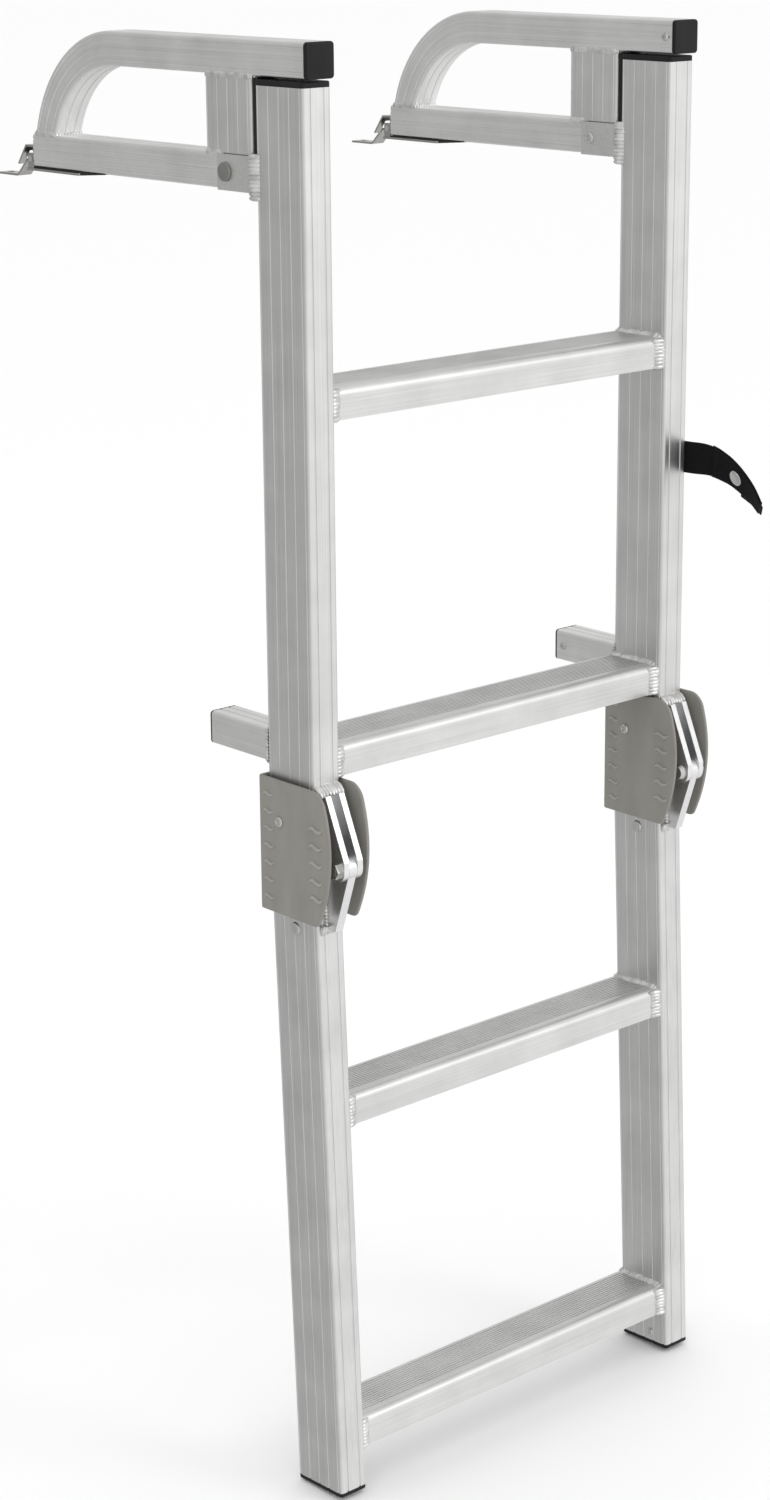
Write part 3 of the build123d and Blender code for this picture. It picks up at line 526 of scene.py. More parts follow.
# ---- geometry nodes -----------------------------------------------------------------------
class Pattern(Graph):
    """A Geometry Nodes tree with named inputs."""

    def __init__(self, name: str, inputs: Sequence[tuple[str, str]]) -> None:
        """Create the tree and its interface.

        Args:
            name: The tree's name.
            inputs: Each input's name and socket type, after the geometry.
        """
        tree = bpy.data.node_groups.new(name, "GeometryNodeTree")
        super().__init__(tree)
        side = tree.interface.new_socket
        side("Geometry", in_out="INPUT", socket_type="NodeSocketGeometry")
        for title, kind in inputs:
            side(title, in_out="INPUT", socket_type=kind)
        side("Geometry", in_out="OUTPUT", socket_type="NodeSocketGeometry")
        self.entry = tree.nodes.new("NodeGroupInput")
        self.exit = tree.nodes.new("NodeGroupOutput")

    def given(self, title: str) -> Wire:
        """An input of the tree."""
        return Wire(self, self.entry.outputs[title])

    def named(self, title: str) -> Wire:
        """A vector attribute of the guide."""
        kind = "GeometryNodeInputNamedAttribute"
        return self.add(kind, {"data_type": "FLOAT_VECTOR"}, {0: title})

    def facing(self, along: Wire) -> Wire:
        """Rotation with Z along the guide's rise and X as near as it can be to another way."""
        kind = "FunctionNodeAlignRotationToVector"
        upright = self.add(kind, {"axis": "Z"}, {"Vector": self.named("rise")})
        settings = {"axis": "X", "pivot_axis": "Z"}
        return self.add(kind, settings, {"Rotation": upright, "Vector": along})

    def leave(self, points: Wire, instance: Wire, rotation: Wire, scale: Wire) -> None:
        """Set the instances, realize, smooth, set the material and leave the tree."""
        inputs = {"Points": points, "Instance": instance, "Rotation": rotation, "Scale": scale}
        shape = self.add("GeometryNodeInstanceOnPoints", inputs=inputs)
        real = self.add("GeometryNodeRealizeInstances", inputs={0: shape})
        soft = self.add("GeometryNodeSetShadeSmooth", inputs={0: real})
        made = self.add("GeometryNodeSetMaterial", inputs={0: soft, "Material": self.given("Material")})
        self.feed(self.exit.inputs[0], made)

    def apply(self, name: str, guide: bpy.types.Mesh, values: dict[str, Any]) -> bpy.types.Object:
        """Run the tree over a guide mesh and keep the result as a plain mesh.

        Args:
            name: Name of the finished object.
            guide: The mesh that the pattern follows.
            values: Value of each named input.

        Returns:
            The finished object.
        """
        carrier = new_object(f"{name}_guide", guide)
        modifier = carrier.modifiers.new("pattern", "NODES")
        modifier.node_group = self.tree
        for item in self.tree.interface.items_tree:
            if item.in_out == "INPUT" and item.name in values:
                modifier[item.identifier] = values[item.name]
        carrier.update_tag()
        bpy.context.view_layer.update()
        seen = carrier.evaluated_get(bpy.context.evaluated_depsgraph_get())
        mesh = bpy.data.meshes.new_from_object(seen)
        mesh.name = name
        bpy.data.objects.remove(carrier)
        return new_object(name, mesh)


def along_path_pattern() -> Pattern:
    """Tree that lays overlapping tilted lenses along a path, as weld ripples."""
    sizes = ("Spacing", "Length", "Width", "Height", "Tilt", "Jitter")
    inputs = [(size, "NodeSocketFloat") for size in sizes]
    inputs += [("Seed", "NodeSocketInt"), ("Material", "NodeSocketMaterial")]
    made = Pattern("lenses_along_path", inputs)
    path = made.add("GeometryNodeMeshToCurve", inputs={0: made.given("Geometry")})
    spots = made.tree.nodes.new("GeometryNodeCurveToPoints")
    spots.mode = "LENGTH"
    made.feed(spots.inputs["Curve"], path)
    made.feed(spots.inputs["Length"], made.given("Spacing"))
    points = Wire(made, spots.outputs["Points"])
    tangent = Wire(made, spots.outputs["Tangent"])
    lean = made.add("ShaderNodeCombineXYZ", inputs={1: made.given("Tilt")})
    leaning = made.add("FunctionNodeEulerToRotation", inputs={0: lean})
    turned = made.add(
        "FunctionNodeRotateRotation",
        {"rotation_space": "LOCAL"},
        {0: made.facing(tangent), 1: leaning},
    )
    random = made.add(
        "FunctionNodeRandomValue",
        {"data_type": "FLOAT"},
        {2: 1.0 - made.given("Jitter"), 3: 1.0 + made.given("Jitter"), "Seed": made.given("Seed")},
        output=1,
    )
    size = made.add(
        "ShaderNodeCombineXYZ",
        inputs={
            0: made.given("Length"),
            1: made.given("Width") * random,
            2: made.given("Height") * random,
        },
    )
    lens = made.add("GeometryNodeMeshUVSphere", inputs={"Segments": 12, "Rings": 7, "Radius": 0.5})
    made.leave(points, lens, turned, size)
    return made


def placing_pattern() -> Pattern:
    """Tree that sets one master shape at each vertex, its Z along the vertex's rise."""
    inputs = [("Master", "NodeSocketObject"), ("Size", "NodeSocketFloat")]
    inputs += [("Material", "NodeSocketMaterial")]
    made = Pattern("masters_at_points", inputs)
    master = made.add("GeometryNodeObjectInfo", inputs={0: made.given("Master")}, output="Geometry")
    rotation = made.facing(made.named("along"))
    made.leave(made.given("Geometry"), master, rotation, made.given("Size"))
    return made


def guide_mesh(
    name: str, runs: Iterable[Sequence[tuple[Point, Point]]], along: Point = (0.0, 0.0, 1.0)
) -> bpy.types.Mesh:
    """Guide of polylines, each vertex with the direction in which the pattern rises.

    Args:
        name: The mesh's name.
        runs: Polylines of (place, rise) pairs.
        along: Direction that a placed master's X follows.

    Returns:
        The guide mesh.
    """
    points: list[Point] = []
    rises: list[float] = []
    edges: list[tuple[int, int]] = []
    for run in runs:
        first = len(points)
        for place, rise in run:
            points.append(place)
            rises.extend(rise)
        edges.extend((index, index + 1) for index in range(first, len(points) - 1))
    mesh = bpy.data.meshes.new(name)
    mesh.from_pydata(points, edges, [])
    mesh.attributes.new("rise", "FLOAT_VECTOR", "POINT").data.foreach_set("vector", rises)
    alongs = list(along) * len(points)
    mesh.attributes.new("along", "FLOAT_VECTOR", "POINT").data.foreach_set("vector", alongs)
    return mesh


# ---- the sections' own frames -------------------------------------------------------------
@dataclass(frozen=True)
class Section:
    """Where a section's own coordinates lie, in millimetres."""

    y: float
    z: float
    tilt: float

    def point(self, x: float, y: float, z: float) -> Point:
        """A place in the object's frame, in metres."""
        cos, sin = math.cos(self.tilt), math.sin(self.tilt)
        return (x * MM, (self.y + y * cos + z * sin) * MM, (self.z - y * sin + z * cos) * MM)

    def way(self, x: float, y: float, z: float) -> Point:
        """A unit direction in the object's frame."""
        cos, sin = math.cos(self.tilt), math.sin(self.tilt)
        made = Vector((x, y * cos + z * sin, -y * sin + z * cos)).normalized()
        return (made.x, made.y, made.z)


UPPER = Section(0.0, 0.0, 0.0)
LOWER = Section(-70.8, -477.0, math.radians(2.4))


# ---- sub-assemblies -----------------------------------------------------------------------
def place_master(
    pattern: Pattern, name: str, master: bpy.types.Object, seats: Sequence[Run], size: float,
    finish: bpy.types.Material, along: Point = (0.0, 0.0, 1.0),
) -> bpy.types.Object:
    """Set a master shape on some seats.

    Args:
        pattern: The tree that places masters.
        name: Name of the finished object.
        master: The shape, which stays in the scene.
        seats: Runs of (place, rise) pairs.
        size: Scale of the master.
        finish: The material.
        along: Direction that the master's X follows.

    Returns:
        The finished object.
    """
    values = {"Master": master, "Size": size, "Material": finish}
    return pattern.apply(name, guide_mesh(f"{name}_seats", seats, along), values)


@dataclass
class Welds:
    """Rippled weld beads round every welded joint. Sizes in millimetres."""

    shop: Workshop
    rail_x: float = 181.0
    rail_half: float = 13.0
    step_depth: float = 46.8
    step_height: float = 24.0
    upper_steps: tuple[float, float] = (-131.0, -392.0)
    lower_steps: tuple[float, float] = (-186.0, -450.0)
    lower_front: float = 24.0
    tube_half: float = 12.7
    rail_front: float = -50.8
    bracket_half: float = 13.6
    bracket_y: float = -0.8
    bracket_span: tuple[float, float] = (-1.0, 27.5)
    plates_half: float = 9.4
    plates_span: tuple[float, float] = (-425.0, -468.0)
    tongue_half: float = 4.2
    tongue_span: tuple[float, float] = (-8.0, -49.0)
    tongue_y: float = 20.0
    ripple: float = 2.6
    brow_step: float = 3.0
    brow_z: float = -421.5
    brow_half: float = 10.0
    toe_z: float = -51.0
    toe_half: float = 8.0
    proud: float = 0.6
    standoff_z: float = -396.5
    standoff_half: float = 12.5
    deck_seams: tuple[tuple[float, float, float], ...] = (
        (5.0, 55.8, 81.8),
        (38.0, 55.8, 28.0),
        (236.5, 262.2, 28.4),
    )
    arm_seed: int = 5
    ripple_length: float = 4.4
    ripple_tilt: float = 24.0
    fullness: float = 0.52
    most_height: float = 4.2
    jitter: float = 0.10
    wide: float = 8.8
    narrow: float = 5.0
    heavy: float = 11.5

    def step_loop(self, section: Section, side: Side, front: float, top: float) -> Run:
        """Seam round a step's end, against the rail's inner face."""
        x = side.value * (self.rail_x - self.rail_half - 0.6)
        inwards = -side.value * 0.8
        back, bottom, nose = front + self.step_depth, top - self.step_height, 5.0
        around = (
            (front, top - nose, -1.0, 0.2),
            (front + nose * 0.3, top - nose * 0.3, -0.7, 0.7),
            (front + nose, top, -0.2, 1.0),
            (back - 1.0, top, 0.2, 1.0),
            (back, top - 1.0, 1.0, 0.2),
            (back, bottom + 1.0, 1.0, -0.2),
            (back - 1.0, bottom, 0.2, -1.0),
            (front + 1.0, bottom, -0.2, -1.0),
            (front, bottom + 1.0, -1.0, -0.2),
        )
        made = [
            (section.point(x, y, z), section.way(inwards, out_y, out_z))
            for y, z, out_y, out_z in around
        ]
        return [*made, made[0]]

    def step_front(self, section: Section, side: Side, front: float, top: float) -> Run:
        """Heavy seam down the front corner between a step and its rail."""
        x = side.value * (self.rail_x - self.rail_half - 3.6)
        ends = ((x, front - 0.4, top - 3.0), (x, front - 0.4, top - self.step_height + 1.0))
        return self.line(section, *ends, (-side.value * 0.35, -1.0, 0.0))

    def tube_loop(self, side: Side, y: float, middle_z: float, half_z: float) -> Run:
        """Seam round a square tube's end on the back face of a rail."""
        made: Run = []
        for across, up in ((-1, -1), (1, -1), (1, 1), (-1, 1)):
            for first in (True, False):
                vertical = (across * up > 0) == first
                out = (float(across), 0.7, 0.0) if vertical else (0.0, 0.7, float(up))
                inset_x, inset_z = (0.0, 2.0) if vertical else (2.0, 0.0)
                x = side.value * self.rail_x + across * (self.tube_half - inset_x)
                z = middle_z + up * (half_z - inset_z)
                made.append((UPPER.point(x, y, z), UPPER.way(*out)))
        return [*made, made[0]]

    def deck_loop(self, side: Side, front: float, back: float, z: float, up: float) -> Run:
        """Seam round a joint between arm tubes whose plane is level."""
        made: Run = []
        for across, along in ((-1, -1), (1, -1), (1, 1), (-1, 1)):
            for first in (True, False):
                beside = (across * along > 0) == first
                out = (float(across), 0.0, 0.3 * up) if beside else (0.0, float(along), up)
                inset_x, inset_y = (0.6, 2.5) if beside else (2.5, 0.0)
                x = side.value * self.rail_x + across * (self.tube_half - inset_x)
                y = (back if along > 0 else front) - along * inset_y
                made.append((UPPER.point(x, y, z), UPPER.way(*out)))
        return [*made, made[0]]

    def line(self, section: Section, start: Point, end: Point, rise: Point) -> Run:
        """Straight seam."""
        return [(section.point(*end_place), section.way(*rise)) for end_place in (start, end)]

    def bracket_lines(self, side: Side) -> list[Run]:
        """Seams between the pivot bracket and the rail's back."""
        runs: list[Run] = []
        for across in (-1.0, 1.0):
            x = side.value * self.rail_x + across * self.bracket_half
            low, high = ((x, self.bracket_y, z) for z in self.bracket_span)
            runs.append(self.line(UPPER, low, high, (across, -0.9, 0.0)))
        return runs

    def plate_lines(
        self, section: Section, side: Side, y: float, half: float, span: tuple[float, float]
    ) -> list[Run]:
        """Upright seams along both sides of a plate on a rail's front face."""
        runs: list[Run] = []
        for across in (-1.0, 1.0):
            x = side.value * self.rail_x + across * half
            high, low = ((x, y, z) for z in span)
            runs.append(self.line(section, high, low, (across, -0.8, 0.0)))
        return runs

    def cross_line(self, section: Section, side: Side, y: float, z: float, half: float, rise: Point) -> Run:
        """Level seam across a rail's front face."""
        x = side.value * self.rail_x
        return self.line(section, (x - half, y, z), (x + half, y, z), rise)

    def lay(
        self, pattern: Pattern, name: str, body: str, runs: Sequence[Run], width: float, seed: int
    ) -> None:
        """Lay beads along some seams of one body."""
        values = {
            "Spacing": self.ripple * MM,
            "Length": self.ripple_length * MM,
            "Width": width * MM,
            "Height": min(width * self.fullness, self.most_height) * MM,
            "Tilt": math.radians(self.ripple_tilt),
            "Jitter": self.jitter,
            "Seed": seed,
            "Material": self.shop.finish("weld"),
        }
        bead = pattern.apply(name, guide_mesh(f"{name}_seams", runs), values)
        settle(bead, body)
        LOG.info("%s: %d faces", name, len(bead.data.polygons))

    def build(self, pattern: Pattern) -> None:
        """Lay every bead, one object for each body and width."""
        wide: dict[str, list[Run]] = {UPPER_BODY: [], LOWER_BODY: []}
        narrow: dict[str, list[Run]] = {UPPER_BODY: [], LOWER_BODY: []}
        heavy: dict[str, list[Run]] = {UPPER_BODY: [], LOWER_BODY: []}
        sections = (
            (UPPER_BODY, UPPER, -self.step_depth, self.upper_steps),
            (LOWER_BODY, LOWER, self.lower_front, self.lower_steps),
        )
        for side in Side:
            for body, section, front, tops in sections:
                for top in tops:
                    wide[body].append(self.step_loop(section, side, front, top))
                    heavy[body].append(self.step_front(section, side, front, top))
            brow = self.rail_front - self.brow_step
            heavy[UPPER_BODY].append(
                self.cross_line(UPPER, side, brow, self.brow_z, self.brow_half, (0.0, -0.8, 1.0))
            )
            heavy[UPPER_BODY].extend(self.bracket_lines(side))
            heavy[LOWER_BODY].append(
                self.cross_line(
                    LOWER, side, self.tongue_y, self.toe_z, self.toe_half, (0.0, -1.0, -0.6)
                )
            )
            narrow[UPPER_BODY].extend(
                self.plate_lines(UPPER, side, self.rail_front, self.plates_half, self.plates_span)
            )
            narrow[LOWER_BODY].extend(
                self.plate_lines(LOWER, side, self.tongue_y, self.tongue_half, self.tongue_span)
            )
            narrow[UPPER_BODY].append(
                self.tube_loop(side, self.proud, self.standoff_z, self.standoff_half)
            )
            arm = [self.deck_loop(side, *seam, self.proud) for seam in self.deck_seams]
            body = f"{side.tag}_arm"
            self.lay(pattern, f"{body}_welds", body, arm, self.narrow, self.arm_seed + side.value)
        kinds = (
            ("step", wide, self.wide, 11),
            ("tube", narrow, self.narrow, 12),
            ("heavy", heavy, self.heavy, 13),
        )
        for kind, seams, width, seed in kinds:
            for body, runs in seams.items():
                self.lay(pattern, f"{body}_{kind}_welds", body, runs, width, seed)


@dataclass(frozen=True)
class Head:
    """Shape of one kind of fastener: rings of (radius, height) for a unit head radius.

    The rings numbered in `hexagons` are drawn as hexagons, as a key socket is.
    """

    name: str
    rings: tuple[tuple[float, float], ...]
    hexagons: tuple[int, ...] = ()
    segments: int = 36

    def make(self) -> bpy.types.Object:
        """Build the head, its seat at the origin and its top along Z."""
        rings: list[list[Point]] = []
        for number, (radius, height) in enumerate(self.rings):
            ring: list[Point] = []
            for step in range(self.segments):
                angle = math.tau * step / self.segments
                reach = radius
                if number in self.hexagons:
                    part = math.fmod(angle, math.pi / 3) - math.pi / 6
                    reach *= math.cos(math.pi / 6) / math.cos(part)
                ring.append((reach * math.cos(angle), reach * math.sin(angle), height))
            rings.append(ring)
        return new_object(self.name, ring_mesh(self.name, rings))


DOME_SOCKET = Head(
    "dome_socket_master",
    (
        (0.45, -0.35), (0.45, -0.02), (0.97, -0.02), (1.0, 0.02), (1.0, 0.10), (0.96, 0.20),
        (0.88, 0.30), (0.76, 0.39), (0.62, 0.45), (0.52, 0.47), (0.47, 0.455), (0.45, 0.42),
        (0.44, 0.12), (0.40, 0.08), (0.05, 0.05),
    ),
    (11, 12, 13),
)
DOME = Head(
    "dome_rivet_master",
    (
        (0.45, -0.35), (0.45, -0.02), (0.96, -0.02), (1.0, 0.02), (0.99, 0.09), (0.93, 0.19),
        (0.83, 0.27), (0.68, 0.34), (0.48, 0.39), (0.25, 0.415), (0.03, 0.42),
    ),
)
BARREL = Head(
    "barrel_head_master",
    (
        (0.55, -0.4), (0.55, -0.01), (0.97, -0.01), (1.0, 0.02), (1.0, 0.16), (0.985, 0.21),
        (0.95, 0.255), (0.88, 0.285), (0.70, 0.30), (0.20, 0.305), (0.03, 0.305),
    ),
)
SNAP_CAP = Head(
    "snap_cap_master",
    (
        (0.55, -0.12), (0.90, -0.01), (1.0, 0.04), (1.0, 0.09), (0.96, 0.16), (0.88, 0.21),
        (0.74, 0.25), (0.50, 0.28), (0.25, 0.295), (0.03, 0.30),
    ),
)
SNAP_RING = Head(
    "snap_ring_master",
    (
        (0.30, -0.05), (0.95, -0.02), (1.0, 0.04), (1.0, 0.22), (0.94, 0.28), (0.80, 0.30),
        (0.66, 0.28), (0.60, 0.20), (0.56, 0.10), (0.05, 0.08),
    ),
)

@dataclass(frozen=True)
class FastenerSet:
    """Fasteners of one kind on one body, which stand for one CAD node."""

    node: str
    body: str
    head: Head
    radius: float
    seats: tuple[tuple[Point, Point], ...]
    finish: str = "steel"
    slot: str = "fastener_steel"


@dataclass
class Fasteners:
    """Every screw, rivet and bolt head that shows. Sizes in millimetres."""

    shop: Workshop
    rail_x: float = 181.0
    rail_half: float = 13.0
    tube_half: float = 12.7

    def _pair(
        self, section: Section, out: float, y: float, z: float, outboard: bool
    ) -> tuple[tuple[Point, Point], ...]:
        """Seats on both rails, facing away from or towards the ladder's middle."""
        seats: list[tuple[Point, Point]] = []
        for side in Side:
            way = side.value if outboard else -side.value
            x = side.value * self.rail_x + way * out
            seats.append((section.point(x, y, z), section.way(float(way), 0.0, 0.0)))
        return tuple(seats)

    def sets(self) -> list[FastenerSet]:
        """The fasteners of the whole ladder."""
        upper, lower = "upper_section", "lower_section"
        guard = self.rail_half + 3.8 + 2.8
        cheek = self.rail_half + 3.2
        made = [
            FastenerSet(
                "guard_screws", upper, DOME_SOCKET, 4.2,
                (
                    *self._pair(UPPER, guard, -19.8, -449.5, True),
                    *self._pair(UPPER, guard, -19.8, -449.5, False),
                ),
            ),
            FastenerSet(
                "stop_rivets", lower, DOME, 5.0,
                (
                    *self._pair(LOWER, self.rail_half, 44.0, -52.5, True),
                    *self._pair(LOWER, self.rail_half, 44.0, -52.5, False),
                ),
            ),
            FastenerSet(
                "foot_screws", lower, DOME_SOCKET, 3.2,
                self._pair(LOWER, self.rail_half, 38.0, -496.0, False),
            ),
            FastenerSet(
                "standoff_screws", upper, DOME_SOCKET, 3.2,
                self._pair(UPPER, self.tube_half, 57.8, -396.5, False),
            ),
            FastenerSet(
                "pivot_screws", upper, DOME_SOCKET, 4.7, self._pair(UPPER, cheek, 30.2, 15.5, False)
            ),
            FastenerSet(
                "pivot_pins", upper, BARREL, 6.8, self._pair(UPPER, cheek, 30.2, 15.5, True), "pin"
            ),
        ]
        return made

    def build(self, pattern: Pattern) -> None:
        """Place every set."""
        masters: dict[str, bpy.types.Object] = {}
        for fastener in self.sets():
            head = fastener.head
            if head.name not in masters:
                masters[head.name] = head.make()
            placed = place_master(
                pattern, f"{fastener.node}_detailed", masters[head.name],
                [[seat] for seat in fastener.seats], fastener.radius * MM,
                self.shop.finish(fastener.finish),
            )
            settle(placed, fastener.body, fastener.node)
            LOG.info("%s: %d heads", fastener.node, len(fastener.seats))
        for master in masters.values():
            bpy.data.objects.remove(master)


@dataclass
class HingeGuard:
    """Plastic guard over one fold hinge: two cheeks joined by a web behind. Millimetres."""

    shop: Workshop
    side: Side
    rail_x: float = 181.0
    inside: float = 16.8
    sheet: float = 2.8
    back: float = 3.4
    web_inside: float = 0.8
    top: float = -418.0
    bottom: float = -521.0
    nose_top: float = -66.0
    nose_middle: tuple[float, float] = (-75.6, -466.0)
    nose_bottom: float = -61.5
    top_round: float = 10.0
    bottom_round: float = 3.0
    rim: float = 0.9
    levels: int = 56
    rib_wave: float = 1.3
    rib_rows: tuple[tuple[float, float, int, float], ...] = (
        (-7.8, -430.5, 7, 12.0),
        (-60.5, -446.5, 5, 15.5),
    )
    rib_pitch: float = 13.2
    rib_radius: float = 1.3
    rib_unit: float = 12.0
    rib_slope: float = -0.18
    corner: float = 2.4
    outside: int = 18
    boss: float = 4.6
    screw: tuple[float, float] = (-19.8, -449.5)

    def nose(self, z: float) -> float:
        """The cheek's front edge at a height."""
        (y_mid, z_mid) = self.nose_middle
        total = 0.0
        knots = ((self.nose_top, self.top), (y_mid, z_mid), (self.nose_bottom, self.bottom))
        for index, (y, z_own) in enumerate(knots):
            share = y
            for other, (_, z_other) in enumerate(knots):
                if other != index:
                    share *= (z - z_other) / (z_own - z_other)
            total += share
        for end, corner in ((self.top, self.top_round), (self.bottom, self.bottom_round)):
            near = corner - abs(z - end)
            if near > 0.0:
                total += corner - math.sqrt(max(corner * corner - near * near, 0.0))
        return total

    def ring(self, z: float, shrink: float) -> list[Point]:
        """Section of the guard at a height, drawn in by an amount."""
        x = self.side.value * self.rail_x
        nose = self.nose(z) + shrink
        outer, inner = self.inside + self.sheet - shrink, self.inside + shrink
        back, web = self.back - shrink, self.web_inside + shrink
        rim, corner = self.rim, self.corner
        half = [
            (outer - rim, nose + 0.0),
            (outer - rim * 0.3, nose + rim * 0.3),
            (outer, nose + rim),
            (outer, (nose + back) / 2),
            (outer, back - corner),
            (outer - corner * 0.1, back - corner * 0.6),
            (outer - corner * 0.3, back - corner * 0.3),
            (outer - corner * 0.6, back - corner * 0.1),
            (outer - corner, back),
        ]
        hollow = [
            (inner - 1.0, web),
            (inner - 0.3, web - 0.3),
            (inner, web - 1.0),
            (inner, (nose + web) / 2),
            (inner, nose + rim),
            (inner + rim * 0.3, nose + rim * 0.3),
            (inner + rim, nose),
        ]
        flat = [
            *half,
            *((-across, y) for across, y in reversed(half)),
            *((-across, y) for across, y in reversed(hollow)),
            *hollow,
        ]
        return [UPPER.point(x + across, y, z) for across, y in flat]

    def shell(self) -> bpy.types.Mesh:
        """The guard's body."""
        rings: list[list[Point]] = []
        for step in range(self.levels + 1):
            share = 0.5 - 0.5 * math.cos(math.pi * step / self.levels)
            z = self.bottom + (self.top - self.bottom) * share
            edge = min(z - self.bottom, self.top - z)
            shrink = 0.0
            if edge < self.rim:
                shrink = self.rim - math.sqrt(self.rim**2 - (self.rim - edge) ** 2)
            rings.append(self.ring(z, shrink))
        count = len(rings[0])
        points = [point for ring in rings for point in ring]
        faces = [
            [row * count + step, row * count + (step + 1) % count,
             (row + 1) * count + (step + 1) % count, (row + 1) * count + step]
            for row in range(self.levels) for step in range(count)
        ]
        outside = self.outside
        for row in (0, self.levels):
            base = row * count
            order = [count - 1 - step for step in range(count - outside)]
            spread = [order[min(round(i * (len(order) - 1) / (outside - 1)), len(order) - 1)]
                      for i in range(outside)]
            for step in range(outside - 1):
                corners = [base + step, base + step + 1, base + spread[step + 1], base + spread[step]]
                unique = list(dict.fromkeys(corners))
                faces.append(unique)
        return mesh_of("guard_shell", points, faces)

    def rib(self) -> bpy.types.Object:
        """Master of one wavy rib, lying along X and rising along Z."""
        rings: list[list[Point]] = []
        steps, around = 20, 10
        for step in range(steps + 1):
            share = step / steps
            along = share - 0.5
            sway = self.rib_wave * math.sin(math.tau * share)
            swell = max(math.sin(math.pi * share), 0.02) ** 0.5
            ring: list[Point] = []
            for turn in range(around):
                angle = math.tau * turn / around
                width = self.rib_radius * swell * math.cos(angle)
                height = self.rib_radius * swell * math.sin(angle)
                ring.append((along, (sway + width) / self.rib_unit, height / self.rib_unit))
            rings.append(ring)
        return new_object("guard_rib_master", ring_mesh("guard_rib_master", rings))

    def build(self, pattern: Pattern) -> None:
        """Make the guard and its ribs."""
        tag = self.side.tag
        shell = new_object(f"{tag}_guard_moulding", self.shell())
        shell.data.materials.append(self.shop.finish("guard"))
        settle(shell, UPPER_BODY, f"{tag}_hinge_guard")
        master = self.rib()
        for number, (y, start, count, length) in enumerate(self.rib_rows):
            seats: list[Run] = []
            for facing in (-1, 1):
                x = self.side.value * self.rail_x + facing * (self.inside + self.sheet)
                for row in range(count):
                    place = UPPER.point(x, y, start - row * self.rib_pitch)
                    seats.append([(place, (float(facing), 0.0, 0.0))])
            name = f"{tag}_guard_ribs_{number}"
            # The ribs take the guard plastic painted lighter, a painted highlight on the raised ribs.
            rib_painted_highlight = self.shop.finish("guard_rib")
            ribs = place_master(
                pattern, name, master, seats, length * MM, rib_painted_highlight, (0.0, 1.0, self.rib_slope)
            )
            settle(ribs, UPPER_BODY)
            LOG.info("%s: %d ribs", name, len(seats))
        bpy.data.objects.remove(master)
        self.bosses(pattern)

    def bosses(self, pattern: Pattern) -> None:
        """Spacers round the screws, between the cheeks and the rail."""
        profile = ((self.boss, -0.6), (self.boss, 3.1), (self.boss - 0.3, 3.4))
        rings = [[(x, y, up) for x, y in circle(radius, 24)] for radius, up in profile]
        master = new_object("boss_master", ring_mesh("boss_master", rings))
        y, z = self.screw
        middle = self.side.value * self.rail_x
        seats: list[Run] = [
            [(UPPER.point(middle + facing * self.inside, y, z), (float(-facing), 0.0, 0.0))]
            for facing in (-1, 1)
        ]
        name = f"{self.side.tag}_guard_bosses"
        made = place_master(pattern, name, master, seats, MM, self.shop.finish("guard"))
        bpy.data.objects.remove(master)
        settle(made, UPPER_BODY)


